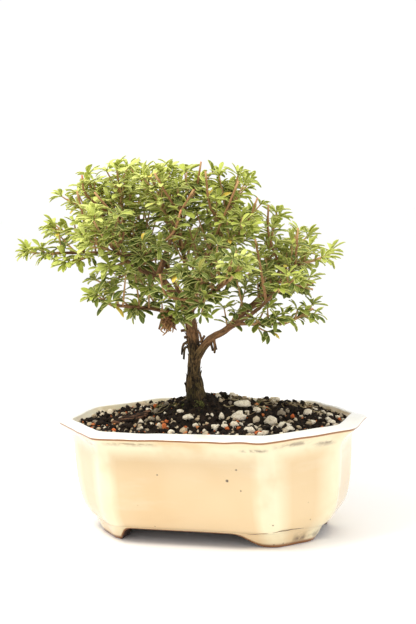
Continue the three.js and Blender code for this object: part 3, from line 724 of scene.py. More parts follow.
def make_soil():
    wall = [(inset + SOIL_GAP, height + SOIL_GAP) for inset, height in reversed(INSIDE[1:])]
    sides = len(outline(0))
    edge_row = len(wall)

    def where(vert, row, side):
        if row < edge_row:
            flat = outline_at(wall[row][0], side)
            vert.co = place((flat.x, flat.y, wall[row][1]))
            return
        share = 1 - (row - edge_row) / SOIL_RINGS
        flat = outline_at(SOIL_EDGE_INSET, side) * share
        crust = noise.noise(Vector((flat.x, flat.y, 0)) / 3.1)
        crust += 0.6 * noise.noise(Vector((flat.x, flat.y, 9)) / 1.5)
        height = soil_height(flat.x, flat.y) + CRUST_HEIGHT * crust
        vert.co = place((flat.x, flat.y, height))

    bm = bmesh.new()
    spun_skin(bm, edge_row + SOIL_RINGS, sides, where)
    soil = finished(bm, "soil_bed", [PEAT], ["soil"])
    for side in (-1, 1):
        bm = bmesh.new()
        bmesh.ops.create_cube(bm, size=1)
        size = (SCREEN_SIZE + 2 * SOIL_GAP, SCREEN_SIZE + 2 * SOIL_GAP, 2 * SCREEN_THICKNESS + SOIL_GAP)
        bmesh.ops.scale(bm, vec=MM * Vector(size), verts=bm.verts)
        bmesh.ops.translate(bm, vec=place((side * DRAIN_OFFSET, 0, FLOOR_TOP + 1)), verts=bm.verts)
        cut_from(soil, bm)


def stone_shape(fineness):
    """A round lump one millimetre across, kept as a pattern for stones and crumbs."""
    bm = bmesh.new()
    bmesh.ops.create_icosphere(bm, subdivisions=fineness, radius=0.5)
    return as_mesh(bm, "lump_pattern")


def add_copy(bm, pattern):
    """Adds a copy of the pattern mesh, and returns its new points."""
    first = len(bm.verts)
    bm.from_mesh(pattern)
    bm.verts.ensure_lookup_table()
    return bm.verts[first:]


def any_turn(random):
    """A turn in space, at random."""
    axis = Vector((random.gauss(0, 1), random.gauss(0, 1), random.gauss(0, 1)))
    return Matrix.Rotation(random.uniform(0, 2 * pi), 3, axis)


def add_stone(bm, pattern, chance, point, size, roughness, random, tone=None, height=None):
    """One rough lump of the given size, or a listed one with a tone and a height."""
    turn = any_turn(random)
    shape = Vector((1, random.uniform(0.7, 0.95), random.uniform(0.55, 0.85)))
    if height:
        turn = Matrix.Rotation(radians(LAID_TURN + random.uniform(-LAID_STRAY, LAID_STRAY)), 3, "Z")
        shape = Vector((1, 0.8, height / size))
    if tone is None:
        tone = random.random()
    seed = Vector((random.uniform(0, 90), 0, 0))
    for vert in add_copy(bm, pattern):
        bulge = 1 + roughness * noise.noise(2.2 * vert.co + seed)
        bulge += 0.5 * roughness * noise.noise(5 * vert.co + seed)
        vert.co = place(Vector(point) + size * (turn @ (bulge * vert.co * shape)))
        vert[chance] = tone


def any_spot(random):
    """A spot at random inside the pot's outline, and beyond its cut corners."""
    x = random.uniform(-RIM_HALF_LENGTH, RIM_HALF_LENGTH)
    return x, random.uniform(-RIM_HALF_DEPTH, RIM_HALF_DEPTH)


def make_crumbs(name, count, sizes, fineness, seed):
    """Loose crumbs of peat all over the soil, far more small ones than large ones."""
    random = Random(seed)
    smallest, largest = sizes
    pattern = stone_shape(fineness)
    bm = bmesh.new()
    chance = bm.verts.layers.float.new("chance")
    while count > 0:
        x, y = any_spot(random)
        size = smallest + (largest - smallest) * random.random() ** 3
        if on_soil(x, y, size / 2 - 0.6):
            point = (x, y, soil_height(x, y) + 0.2 * size)
            add_stone(bm, pattern, chance, point, size, CRUMB_ROUGHNESS, random)
            count -= 1
    bpy.data.meshes.remove(pattern)
    finished(bm, name, [PEAT])


make_soil()
make_crumbs("peat_crumbs", CRUMB_COUNT, CRUMB_SIZES, fineness=1, seed=31)
make_crumbs("peat_lumps", LUMP_COUNT, LUMP_SIZES, fineness=2, seed=32)

# Grit. Washed pumice, burnt clay and pebbles, most of 1 to 6 mm and some white lumps of up to
# 12 mm, strewn over the peat and half sunk in it. Pumice lies thickest to the right of the trunk.
TRUNK_CLEARANCE = 15
CHIP_PLACE = Vector((-50, -14))
CHIP_CLEARANCE = (12, 5)
GRIT_SHARE = 0.6
GRIT_NEARNESS = 0.4
GRIT_SHOWING = (0.05, 0.3)
LAID_SHOWING = 0.25
PUMICE_LEAST = 0.2
PUMICE_FROM = -50
PUMICE_OVER = 80
PUMICE_THIN_RIGHT = 66
PUMICE_THIN_BEHIND = 24
PUMICE_THIN_SHARE = 0.6

# Each kind: name, count, smallest and largest size, roughness, seed, and its three colours
GRIT = [
    ("pumice_grit", 165, 2.2, 6, 0.75, 7, ((0.95, 0.86, 0.68), (0.58, 0.46, 0.30), (0.26, 0.17, 0.10))),
    ("burnt_clay_grit", 130, 1.4, 3.6, 0.6, 8, ((0.62, 0.13, 0.03), (0.60, 0.24, 0.08), (0.2, 0.07, 0.04))),
    ("pebble_grit", 300, 1.8, 5, 0.5, 9, ((0.62, 0.48, 0.30), (0.27, 0.22, 0.16), (0.09, 0.065, 0.045))),
]

# Listed stones: place, width, height, and tone from pale to dark
BIG_STONES = {
    "pumice_grit": [
        (-78, 14, 4.9, 4.2, 0.6), (-8, -21, 7.8, 3.9, 0.2), (-15, -15, 5.2, 2.6, 0.2),
        (-11, -45, 4.4, 3.2, 0.4), (-26, -27, 3.9, 3.2, 0.2), (0, -29, 3.8, 3.2, 0.1),
        (13, -30, 6.4, 5.1, 0.1), (19, -27, 5.1, 4.5, 0.45), (24, -22, 5.8, 4.5, 0.3),
        (37, -32, 8.2, 5, 0.1), (24, -12, 9.1, 7.1, 0.3), (32, 1, 5.9, 3.9, 0.5),
        (55, -15, 8.9, 4.5, 0.3), (60, -21, 6.3, 5.1, 0.1), (82, 2, 5.8, 4.5, 0.1),
        (51, -24, 5.1, 3.2, 0.2), (13, -15, 3.9, 5.2, 0.3), (36, -13, 4.5, 5.2, 0.7),
        (45, -12, 9, 7.1, 0.55), (22, 3, 11.9, 5.3, 0.45), (-20, 34, 7, 4.5, 0.2), (34, 37, 8, 5, 0.5),
        (64, 10, 6, 4.6, 0.4), (78, 8, 5, 3.4, 0.3), (86, -3, 5.5, 3.2, 0.1), (70, -3, 5, 4, 0.5),
    ],
    "burnt_clay_grit": [(-20, -33, 3.2, 5.2, 0.5), (-22, -23, 3.3, 2.6, 0), (44, -36, 5.6, 2.5, 0)],
    "pebble_grit": [(49, 1, 5.9, 5.9, 0.8), (-4, -41, 5.1, 5.1, 0.3)],
}


def grit_stone(name, colors):
    """Stone that turns from one colour to another by chance, with dark pits and a dusty skin."""
    pale, middle, dark = colors
    finish = Finish(name, 0.85, specular=0.3)
    chance = finish.drawn("chance")
    color = finish.blend(finish.ramp(chance, 0.35, 0.9), pale, middle)
    dusty = finish.patches(500, 0.45, 0.7, 0.7, detail=3)
    color = finish.blend(dusty, color, middle)
    pits = finish.patches(1500, 0.56, 0.68, 0.8, detail=3, seed=6)
    color = finish.blend(pits, color, dark)
    grain = finish.bump(finish.cloud(1500, detail=3, seed=1), 0.5 * MM)
    return finish.done(Base_Color=color, Normal=grain)


def pumice_share(x, y):
    """How thickly pumice lies at a spot: less to the left, at the far right and behind."""
    share = min(1, max(PUMICE_LEAST, (x - PUMICE_FROM) / PUMICE_OVER))
    thin = x > PUMICE_THIN_RIGHT or y > PUMICE_THIN_BEHIND
    return share * (PUMICE_THIN_SHARE if thin else 1)


def make_grit():
    laid = []
    pattern = stone_shape(2)
    for name, count, smallest, largest, roughness, seed, colors in GRIT:
        random = Random(seed)
        bm = bmesh.new()
        chance = bm.verts.layers.float.new("chance")
        for x, y, long, high, tone in BIG_STONES[name]:
            laid.append((Vector((x, y)), long))
            point = (x, y, soil_height(x, y) + LAID_SHOWING * high)
            add_stone(bm, pattern, chance, point, long, 0.6 * roughness, random, tone, high)
        for _ in range(count * 4):
            x, y = any_spot(random)
            size = smallest + (largest - smallest) * random.random() ** 2.5
            share = pumice_share(x, y) if name == "pumice_grit" else GRIT_SHARE
            spot = Vector((x, y))
            chip = spot - CHIP_PLACE
            free = on_soil(x, y, size / 2 - 0.3)
            free = free and (spot - TRUNK_FOOT).length > TRUNK_CLEARANCE
            free = free and hypot(chip.x / CHIP_CLEARANCE[0], chip.y / CHIP_CLEARANCE[1]) > 1
            gaps = ((spot - other).length - GRIT_NEARNESS * (size + wide) for other, wide in laid)
            free = free and all(gap > 0 for gap in gaps)
            if free and random.random() < share:
                laid.append((spot, size))
                height = soil_height(x, y) + random.uniform(*GRIT_SHOWING) * size
                add_stone(bm, pattern, chance, (x, y, height), size, roughness, random)
        finished(bm, name, [grit_stone(name, colors)])
    bpy.data.meshes.remove(pattern)


make_grit()

# Bark chip. A splinter of old bark, dark and fibrous, that lies loose on the soil to the left of
# the trunk. One end is tipped up.
CHIP_LENGTH = 23
CHIP_WIDTH = 7
CHIP_THICKNESS = 3
CHIP_SKEW = 0.3
CHIP_LIFT = 2.4
CHIP_TILT = 0.2
CHIP_RIDGES = 1.5
CHIP_ARCH = 1.2
CHIP_CURL = 1.4
CHIP_DARK = (0.012, 0.008, 0.006)
CHIP_BROWN = (0.27, 0.135, 0.075)


def chip_bark():
    finish = Finish("chip_bark", 0.9, specular=0.25)
    fibres = finish.cloud(420, detail=5, rough=0.7, stretch=(0.12, 1, 1))
    color = finish.blend(finish.ramp(fibres, 0.45, 0.62), CHIP_DARK, CHIP_BROWN)
    ridges = finish.bump(fibres, 2 * MM)
    return finish.done(Base_Color=color, Normal=ridges)


def make_chip():
    bm = bmesh.new()
    bmesh.ops.create_grid(bm, x_segments=34, y_segments=12, size=1)
    base = soil_height(*CHIP_PLACE) + CHIP_LIFT
    for vert in bm.verts:
        x, y = vert.co.x, vert.co.y
        ragged = 1 + 0.25 * noise.noise(Vector((3 * y, 0, 5))) * abs(x)
        narrow = 1 - 0.35 * abs(x) ** 3 + 0.22 * noise.noise(Vector((3 * x, y, 0)))
        along = CHIP_LENGTH / 2 * x * ragged
        across = CHIP_WIDTH / 2 * y * narrow + CHIP_SKEW * along
        ridge = CHIP_RIDGES * noise.noise(Vector((along / 9, across / 1.1, 0)))
        arch = CHIP_ARCH * (1 - y * y) + CHIP_CURL * max(0, x) ** 2 + CHIP_TILT * along
        vert.co = place((CHIP_PLACE.x + along, CHIP_PLACE.y + across, base + arch + ridge))
    bmesh.ops.solidify(bm, geom=bm.faces[:], thickness=CHIP_THICKNESS * MM)
    bmesh.ops.recalc_face_normals(bm, faces=bm.faces)
    finished(bm, "old_bark_chip", [chip_bark()], ["bark_chip"])


make_chip()

# Tree. The trunk and its limbs are one piece of living wood, with rough stringy bark that is dark
# at its foot and rusty above, and short dead stubs where twigs were cut.
TRUNK = [
    (-8, -3, 56), (-8, -3, 74), (-8, -3, 88), (-9, -3, 104),
    (-8, -3, 118), (-9, -3, 131), (-10, -3, 142), (-12, -4, 154),
]
TRUNK_RADII = [3.2, 6.6, 7.2, 4.6, 4, 4.1, 3.4, 2.4]
TRUNK_SIDES = 36
TRUNK_ROWS = 110
TRUNK_FIT = 0.95
TRUNK_RIDGES = 0.13
TRUNK_GRAIN = 0.12
ROOT_SWELLING = 0.3
ROOT_PLACE = 0.28
ROOT_REACH = 0.17
LIMB_SIDES = 12
LIMB_ROW_LENGTH = 2.2
LIMB_COLLAR = 0.55
LIMB_KNOTS = 0.16

# Each limb or stub: its route, and its radius at its foot and at its tip
LIMBS = {
    "right": ([(-8, -3, 114), (4, -5, 127), (15, -5, 133), (29, -7, 145), (41, -7, 153), (50, -6, 162),
               (65, -1, 175)], 2.7, 1.1),
    "right_upper": ([(-11, -4, 146), (-2, -9, 168), (10, -11, 188), (19, -8, 207), (23, -3, 218)], 2.2, 0.9),
    "left": ([(-10, -4, 143), (-31, -2, 170), (-43, 2, 183), (-57, 2, 202), (-63, 1, 211)], 2.4, 1),
    "middle": ([(-31, -2, 170), (-19, -11, 191), (-12, -17, 201), (-6, -19, 211), (1, -18, 221)], 1.6, 0.9),
    "top": ([(-12, -4, 152), (-14, 5, 172), (-20, 12, 192), (-27, 16, 212)], 2, 1),
    "low_left": ([(-10, -3, 138), (-23, -21, 148), (-34, -38, 152), (-44, -52, 155)], 1.5, 0.9),
    "far_left": ([(-43, 2, 183), (-55, -14, 185), (-68, -30, 187), (-83, -42, 188)], 1.5, 0.9),
    "right_low": ([(15, -5, 133), (27, -12, 138), (43, -17, 138), (58, -18, 139)], 1.4, 0.9),
    "front_right": ([(22, -6, 138), (36, -22, 144), (50, -34, 153), (60, -40, 161)], 1.5, 0.9),
    "front": ([(-10, -3, 138), (-2, -22, 147), (10, -38, 156), (24, -50, 163), (36, -58, 170)], 1.8, 0.9),
    "front_left": ([(-28, -3, 166), (-33, -24, 174), (-38, -44, 184), (-42, -60, 196)], 1.8, 0.9),
    "back": ([(-11, -3, 144), (-12, 20, 157), (-8, 38, 172), (1, 54, 188), (9, 62, 200)], 1.9, 0.9),
    "back_left": ([(-13, -3, 150), (-28, 16, 166), (-45, 30, 187), (-60, 38, 207)], 1.9, 0.9),
    "back_right": ([(29, -7, 145), (37, 14, 156), (42, 34, 168), (44, 50, 178)], 1.6, 0.9),
    "stub_low": ([(-8, -3, 126), (-14, -6, 124), (-15.5, -7, 117)], 1.2, 0.6),
    "stub_left": ([(-23, -21, 148), (-22, -23, 143), (-24, -24, 136)], 1, 0.7),
    "stub_right": ([(6, -5, 128), (7.5, -6, 123), (7, -6, 118)], 1.1, 0.7),
}
BARK_CHANGE_HEIGHT = 96
BARK_FISSURE = (0.018, 0.012, 0.007)
BARK_GREY = (0.155, 0.098, 0.036)
BARK_RUST = (0.350, 0.180, 0.082)
BARK_FLECK = (0.45, 0.30, 0.15)
BARK_MOSS = (0.110, 0.100, 0.018)


class Growth(SmoothRoute):
    """The route of a shoot or limb, with directions square to it."""

    def __init__(self, points):
        super().__init__(points)
        whole = self.at(1) - self.at(0)
        self.helper = min(Matrix.Identity(3), key=lambda axis: abs(axis.dot(whole)))

    def tangent(self, t):
        step = 0.005
        return (self.at(t + step) - self.at(t - step)).normalized()

    def across(self, t, turn):
        tangent = self.tangent(t)
        side = tangent.cross(self.helper).normalized()
        return cos(turn) * side + sin(turn) * tangent.cross(side)

    def length(self):
        marks = [self.at(step / 12) for step in range(13)]
        return sum((b - a).length for a, b in zip(marks, marks[1:]))


def add_tube(bm, route, rows, sides, radius_at, grain=None):
    """A round skin along the route; radius_at(t, turn) is its radius in millimetres."""
    frames = []
    for row in range(rows):
        t = row / (rows - 1)
        frames.append((t, route.at(t), route.across(t, 0), route.across(t, pi / 2)))
    long = route.length()

    def where(vert, row, side):
        t, centre, right, up = frames[row]
        turn = side * 2 * pi / sides
        outward = cos(turn) * right + sin(turn) * up
        radius = radius_at(t, turn)
        vert.co = place(centre + radius * outward)
        if grain:
            vert[grain] = Vector((radius * cos(turn), radius * sin(turn), t * long)) * MM

    return spun_skin(bm, rows, sides, where)


def stringy_bark():
    """Bark whose ridges run along the wood: rusty strips over dark cracks, grey where it is old."""
    finish = Finish("stringy_bark", 0.88, specular=0.25)
    along = finish.drawn("grain", "Vector")
    strips = finish.cloud(560, detail=6, rough=0.75, at=along, stretch=(1, 1, 0.22))
    flecks = finish.cloud(1200, detail=3, at=along, stretch=(1, 1, 0.3), seed=4)
    rise = finish.add("SeparateXYZ", {0: finish.where()}).outputs["Z"]
    low = POT_LOW.z + BARK_CHANGE_HEIGHT * MM
    rusty = finish.ramp(rise, low + 16 * MM, low + 44 * MM, 0, 0.75)
    rusty = finish.math(rusty, finish.cloud(90, seed=5), "ADD")
    color = finish.blend(finish.ramp(rusty, 0.45, 1.05), BARK_GREY, BARK_RUST)
    color = finish.blend(finish.ramp(flecks, 0.5, 0.75, 0, 0.6), color, BARK_FLECK)
    mossy = finish.ramp(rise, low - 12 * MM, low + 26 * MM, 0.9, 0)
    mossy = finish.math(mossy, finish.cloud(140, seed=8))
    color = finish.blend(finish.ramp(mossy, 0.26, 0.5, 0, 0.6), color, BARK_MOSS)
    cracks = finish.ramp(strips, 0.44, 0.58, 0.95, 0)
    cracks = finish.math(cracks, finish.ramp(rusty, 0.6, 1.2, 1, 0.55))
    color = finish.blend(cracks, color, BARK_FISSURE)
    # Near black towards the foot of the trunk
    darker_at_foot = finish.ramp(rise, low - 18 * MM, low + 14 * MM, 0.65, 0)
    color = finish.blend(darker_at_foot, color, BARK_FISSURE)
    ridges = finish.bump(strips, 2 * MM)
    return finish.done(Base_Color=color, Normal=ridges)


BARK = stringy_bark()
TRUNK_ROUTE = Growth(TRUNK)
LIMB_ROUTES = {name: Growth(route) for name, (route, _, _) in LIMBS.items()}


def trunk_radius(t, turn):
    """The trunk's radius: a flared foot, and ridges that run up it and fade above."""
    last = len(TRUNK_RADII) - 1
    along = min(t * last, last - 1e-6)
    lower = int(along)
    plain = TRUNK_RADII[lower] + (along - lower) * (TRUNK_RADII[lower + 1] - TRUNK_RADII[lower])
    round_point = Vector((cos(turn), sin(turn), 0))
    ridge = noise.noise(2.6 * round_point + Vector((0, 0, 7 * t)))
    fine = noise.noise(6 * round_point + Vector((5, 0, 16 * t)))
    root = noise.noise(1.6 * round_point + Vector((3, 0, 0)))
    root = max(0, 1 - abs(t - ROOT_PLACE) / ROOT_REACH) * root
    return TRUNK_FIT * plain * (1 + TRUNK_RIDGES * ridge + TRUNK_GRAIN * fine + ROOT_SWELLING * root)


def limb_radius(thick, thin, seed):
    """A limb's radius along its route: thicker at its foot, with a collar there and soft knots."""
    def radius(t, turn):
        point = Vector((cos(turn), sin(turn), 9 * t + seed))
        collar = LIMB_COLLAR * exp(-t * 14)
        return (thick + (thin - thick) * t) * (1 + collar + LIMB_KNOTS * noise.noise(1.8 * point))
    return radius


def make_tree():
    bm = bmesh.new()
    grain = bm.verts.layers.float_vector.new("grain")
    add_tube(bm, TRUNK_ROUTE, TRUNK_ROWS, TRUNK_SIDES, trunk_radius, grain)
    for number, (name, (_, thick, thin)) in enumerate(LIMBS.items()):
        limb = LIMB_ROUTES[name]
        rows = max(6, round(limb.length() / LIMB_ROW_LENGTH))
        add_tube(bm, limb, rows, LIMB_SIDES, limb_radius(thick, thin, 11 * number), grain)
    finished(bm, "living_wood", [BARK], ["trunk_and_limbs"])


make_tree()

# Loose bark. The dry outer bark of the trunk peels in thin strips, each still fast at its lower
# end and lifted off the wood at its top.
FLAKE_COUNT = 90
FLAKE_SEED = 12
FLAKE_FEET = (0.3, 0.86)
FLAKE_LENGTHS = (0.035, 0.1)
FLAKE_WIDTHS = (0.12, 0.3)
FLAKE_LIFTS = (0.2, 1.1)
FLAKE_GAP = 0.15
FLAKE_THICKNESS = 0.35


def flake_shape(random, number):
    """One strip, bent round the trunk's skin."""
    low = random.uniform(*FLAKE_FEET)
    turn = random.uniform(0, 2 * pi)
    long = random.uniform(*FLAKE_LENGTHS)
    wide = random.uniform(*FLAKE_WIDTHS)
    lift = random.uniform(*FLAKE_LIFTS)
    bm = bmesh.new()
    bmesh.ops.create_grid(bm, x_segments=2, y_segments=5, size=1)
    for vert in bm.verts:
        x, y = vert.co.x, vert.co.y
        t = low + long * (y + 1) / 2
        angle = turn + wide * x * (1 - 0.5 * abs(y)) + 0.1 * noise.noise(Vector((y, number, 0)))
        radius = trunk_radius(t, angle) + FLAKE_GAP + lift * max(0, y) ** 2
        flat = cos(angle) * TRUNK_ROUTE.across(t, 0) + sin(angle) * TRUNK_ROUTE.across(t, pi / 2)
        vert.co = place(TRUNK_ROUTE.at(t) + radius * flat)
    bmesh.ops.solidify(bm, geom=bm.faces[:], thickness=FLAKE_THICKNESS * MM)
    bmesh.ops.recalc_face_normals(bm, faces=bm.faces)
    return as_mesh(bm, "flake_pattern")


def make_flakes():
    random = Random(FLAKE_SEED)
    bm = bmesh.new()
    grain = bm.verts.layers.float_vector.new("grain")
    for number in range(FLAKE_COUNT):
        flake = flake_shape(random, number)
        for vert in add_copy(bm, flake):
            vert[grain] = vert.co + Vector((0, 0, number * MM))
        bpy.data.meshes.remove(flake)
    finished(bm, "loose_bark", [BARK])


make_flakes()

# Dead twigs. Short dry stubs of twigs that were cut or broken off round the first fork. They are
# still fast in the bark.
DEAD_TWIGS = [
    ([(3.4, -2.5, 125), (4.5, -3, 121.5), (5, -3, 119)], 0.8), ([(5.1, -2, 126), (6.8, -2.9, 121)], 0.5),
    ([(6, -3, 127), (7, -3.4, 122.7), (7.7, -3.4, 119.9)], 0.7),
    ([(-5.5, -3, 117.5), (-3.6, -3.6, 116.9), (-2.2, -3.7, 115.9)], 1.1),
    ([(-9.5, -5, 121.2), (-13.4, -5.7, 121.4), (-14.2, -7, 113.9)], 0.75),
    ([(-10, -5, 129), (-13.4, -6.7, 128.4)], 0.9), ([(-11.4, -6, 133.3), (-14.8, -8.3, 133.1)], 0.9),
    ([(-5, -4, 132), (-3.2, -4.3, 131), (-2.3, -4.2, 126.3)], 0.7),
    ([(-2.5, -5, 125), (0.6, -6, 129.5)], 0.8),
]


def make_dead_twigs():
    bm = bmesh.new()
    grain = bm.verts.layers.float_vector.new("grain")
    for number, (points, thick) in enumerate(DEAD_TWIGS):
        radius = limb_radius(1.15 * thick, thick, 9 * number)
        add_tube(bm, Growth(points), rows=9, sides=8, radius_at=radius, grain=grain)
    finished(bm, "dead_twigs", [BARK])


make_dead_twigs()

# Moss. It grows in low tufts on the damp peat round the foot of the trunk. Each is a cushion of
# short blades, dark and pale ones mixed.

# Each tuft: its place and width
MOSS_TUFTS = [
    (-18, -9, 4.4), (-3, -10, 3), (-38, 6, 5), (-30, 26, 4), (6, 16, 4.2), (-11, 8, 3.4),
    (20, 24, 3.6), (-24, -1, 3), (30, 12, 2.6), (-4, 22, 3.4),
]
MOSS_BLADES = 75
MOSS_SEED = 51
TUFT_SPREAD = 0.55
BLADE_LEAN = 0.3
BLADE_WIDTH = 1.4
BLADE_HEIGHTS = (1.2, 2.8)
BLADE_MIDDLE = Vector((0, 0, 0.4))
MOSS_DARK = (0.055, 0.058, 0.014)
MOSS_PALE = (0.250, 0.255, 0.080)


def tangled(name, dark, pale, roughness):
    """A dull skin that turns from dark to pale by chance, finely mottled."""
    finish = Finish(name, roughness, specular=0.2)
    mottled = finish.ramp(finish.cloud(700), 0.3, 0.7, -0.2, 0.2)
    shade = finish.math(finish.drawn("chance"), mottled, "ADD")
    grain = finish.bump(finish.cloud(1800, detail=2), 0.1 * MM)
    return finish.done(Base_Color=finish.blend(shade, dark, pale), Normal=grain)


def make_moss():
    random = Random(MOSS_SEED)
    bm = bmesh.new()
    chance = bm.verts.layers.float.new("chance")
    blade = bmesh.new()
    bmesh.ops.create_cone(blade, cap_ends=True, segments=3, radius1=0.2, radius2=0.04, depth=1)
    pattern = as_mesh(blade, "blade_pattern")
    for x, y, wide in MOSS_TUFTS:
        for _ in range(MOSS_BLADES):
            aside = Vector((random.gauss(0, TUFT_SPREAD), random.gauss(0, TUFT_SPREAD)))
            foot = Vector((x, y)) + wide * aside
            stray = Vector([random.gauss(0, BLADE_LEAN) for _ in range(3)])
            lean = Vector((aside.x, aside.y, 1)) + stray
            turn = Vector((0, 0, 1)).rotation_difference(lean).to_matrix()
            base = Vector((foot.x, foot.y, soil_height(*foot) + 0.2))
            height = random.uniform(*BLADE_HEIGHTS) * max(0.4, 1.2 - aside.length)
            size = Vector((BLADE_WIDTH, BLADE_WIDTH, height))
            tone = random.random()
            for vert in add_copy(bm, pattern):
                vert[chance] = tone
                vert.co = place(base + turn @ ((vert.co + BLADE_MIDDLE) * size))
    bpy.data.meshes.remove(pattern)
    finished(bm, "moss", [tangled("moss_green", MOSS_DARK, MOSS_PALE, 0.8)])


make_moss()

# Litter. Dry roots and stalks, brown to straw-coloured, that lie loose and tangled on the soil
# beside the trunk and on the heap behind it.

# Each patch: its middle, its reach along x and y, and how many stalks lie in it
LITTER = [
    (-34, 2, 15, 7, 18), (-20, 22, 20, 8, 14), (16, 12, 22, 10, 26),
    (30, -8, 20, 12, 6), (48, 24, 22, 12, 34),
]
LITTER_SEED = 52
LITTER_RADII = (0.15, 0.45)
LITTER_STEPS = (2.2, 4.6)
LITTER_LIFTS = (0.4, 1.7)
LITTER_TURNS = (-0.5, 0.9)
LITTER_WANDER = 0.4
LITTER_PALE = (0.40, 0.33, 0.18)
LITTER_BROWN = (0.130, 0.070, 0.036)


def make_litter():
    random = Random(LITTER_SEED)
    bm = bmesh.new()
    chance = bm.verts.layers.float.new("chance")
    for x, y, spread_x, spread_y, count in LITTER:
        for _ in range(count):
            spot = Vector((x + spread_x * random.uniform(-1, 1), y + spread_y * random.uniform(-1, 1)))
            turn = random.uniform(*LITTER_TURNS)
            step = random.uniform(*LITTER_STEPS)
            points = []
            for _ in range(4):
                lift = random.uniform(*LITTER_LIFTS)
                points.append((spot.x, spot.y, soil_height(*spot) + lift))
                spot += step * Vector((cos(turn), sin(turn)))
                turn += random.gauss(0, LITTER_WANDER)
            thick = random.uniform(*LITTER_RADII)
            tone = random.random()
            radius = limb_radius(thick, 0.5 * thick, x)
            for vert in add_tube(bm, Growth(points), rows=9, sides=6, radius_at=radius):
                vert[chance] = tone
    finished(bm, "dry_litter", [tangled("dry_roots", LITTER_BROWN, LITTER_PALE, 0.9)])


make_litter()

# Withered cluster. A small shoot that died on the lowest limb: curled rusty leaves and stalks
# that hang there in one tangle.
WITHERED_PLACE = (-14, -33, 144)
WITHERED_COUNT = 54
WITHERED_SEED = 77
WITHERED_SPREAD = 2.4
WITHERED_SWAY = 1.3
WITHERED_DROPS = (-6, -2)
WITHERED_RADII = (0.4, 1)
WITHERED_RUST = (0.36, 0.20, 0.075)
WITHERED_BROWN = (0.17, 0.075, 0.032)


def make_withered():
    random = Random(WITHERED_SEED)
    bm = bmesh.new()
    chance = bm.verts.layers.float.new("chance")
    for _ in range(WITHERED_COUNT):
        start = Vector(WITHERED_PLACE) + Vector([random.gauss(0, WITHERED_SPREAD) for _ in range(3)])
        sway = (random.gauss(0, WITHERED_SWAY), random.gauss(0, WITHERED_SWAY))
        sag = Vector((*sway, random.uniform(*WITHERED_DROPS)))
        bend = start + 0.5 * sag + Vector((random.gauss(0, 1), random.gauss(0, 1), 0))
        thick = random.uniform(*WITHERED_RADII)
        tone = random.random()
        curl = Growth([start, bend, start + sag])
        radius = limb_radius(thick, 0.5 * thick, tone)
        for vert in add_tube(bm, curl, rows=7, sides=6, radius_at=radius):
            vert[chance] = tone
    finished(bm, "withered_cluster", [tangled("withered_leaf", WITHERED_BROWN, WITHERED_RUST, 0.8)])


make_withered()

# Leafy sprays. Each is a young shoot with its side shoots, grown from a limb: thin tan twigs with
# pairs and tufts of small spatula leaves at their joints, and a rosette at every tip that wasn't
# cut off. The leaves at the top of the crown are the youngest and the palest; part of their
# paleness is painted light from above.

# Each spray: its limb, how far along the limb it starts, and where its tip is
SPRAYS = [
    ("far_left", 1, (-104, -53, 190)), ("far_left", 0.6, (-76, -54, 181)),
    ("left", 0.6, (-94, -38, 205)), ("left", 1, (-76, -14, 235)),
    ("left", 0.85, (-90, -12, 222)), ("left", 0.72, (-48, -24, 243)),
    ("left", 0.42, (-66, -22, 164)), ("back_left", 1, (-74, 46, 239)),
    ("back_left", 0.7, (-96, 32, 212)), ("front_left", 1, (-46, -76, 214)),
    ("front_left", 0.75, (-56, -68, 200)), ("front_left", 0.6, (-46, -62, 178)),
    ("low_left", 1, (-51, -66, 165)), ("low_left", 0.6, (-37, -36, 148)),
    ("middle", 1, (5, -16, 231)), ("middle", 0.5, (-22, -36, 238)),
    ("top", 1, (-29, 20, 243)), ("top", 0.7, (-54, 22, 241)),
    ("right_upper", 1, (16, 3, 223)), ("right_upper", 0.7, (36, -6, 204)),
    ("right_upper", 0.45, (44, -32, 202)), ("back", 1, (15, 74, 206)),
    ("back", 0.7, (-14, 60, 222)), ("right", 1, (84, 12, 181)),
    ("right", 0.85, (68, 22, 186)), ("right", 0.62, (48, 14, 212)),
    ("right", 0.75, (77, -14, 164)), ("right_low", 1, (77, -17, 148)),
    ("right_low", 0.5, (60, -34, 146)), ("front", 1, (48, -68, 182)),
    ("front", 0.6, (20, -66, 155)), ("front", 0.8, (10, -70, 178)),
    ("back_right", 1, (46, 72, 192)), ("front_right", 1, (78, -50, 172)),
    ("front_left", 0.45, (-12, -54, 192)), ("low_left", 0.35, (-2, -33, 147)),
    ("left", 0.3, (-48, 20, 158)), ("back", 0.4, (18, 50, 162)),
    ("back_left", 0.4, (-68, 40, 174)), ("back", 0.55, (-34, 58, 192)),
]

# Sprays by number: how much younger or older than their height in the crown makes them, where a
# shift to older, as for 32 and 35 in the middle front, is painted shade; those with a bare cut tip,
# and those with few and short side shoots
YOUTH_AND_SHADE_SHIFT = {
    1: 0.05, 2: 0.2, 4: 0.1, 10: 0.1, 11: 0.3, 12: 0.25, 13: 0.1, 21: -0.05, 24: 0.25, 25: 0.2,
    26: 0.12, 30: 0.45, 32: -0.32, 33: 0.15, 34: 0.1, 35: -0.36,
}
BARE_TIPS = {5, 15, 19, 20, 24, 27, 28, 33}
SLIM_SPRAYS = {1, 2, 3, 7, 12, 13, 14, 20, 24, 25, 26, 27, 33}
SLIM_FULLNESS = 0.57
CROWN_LOW = 170
CROWN_RISE = 66
LEAST_YOUTH = 0.03
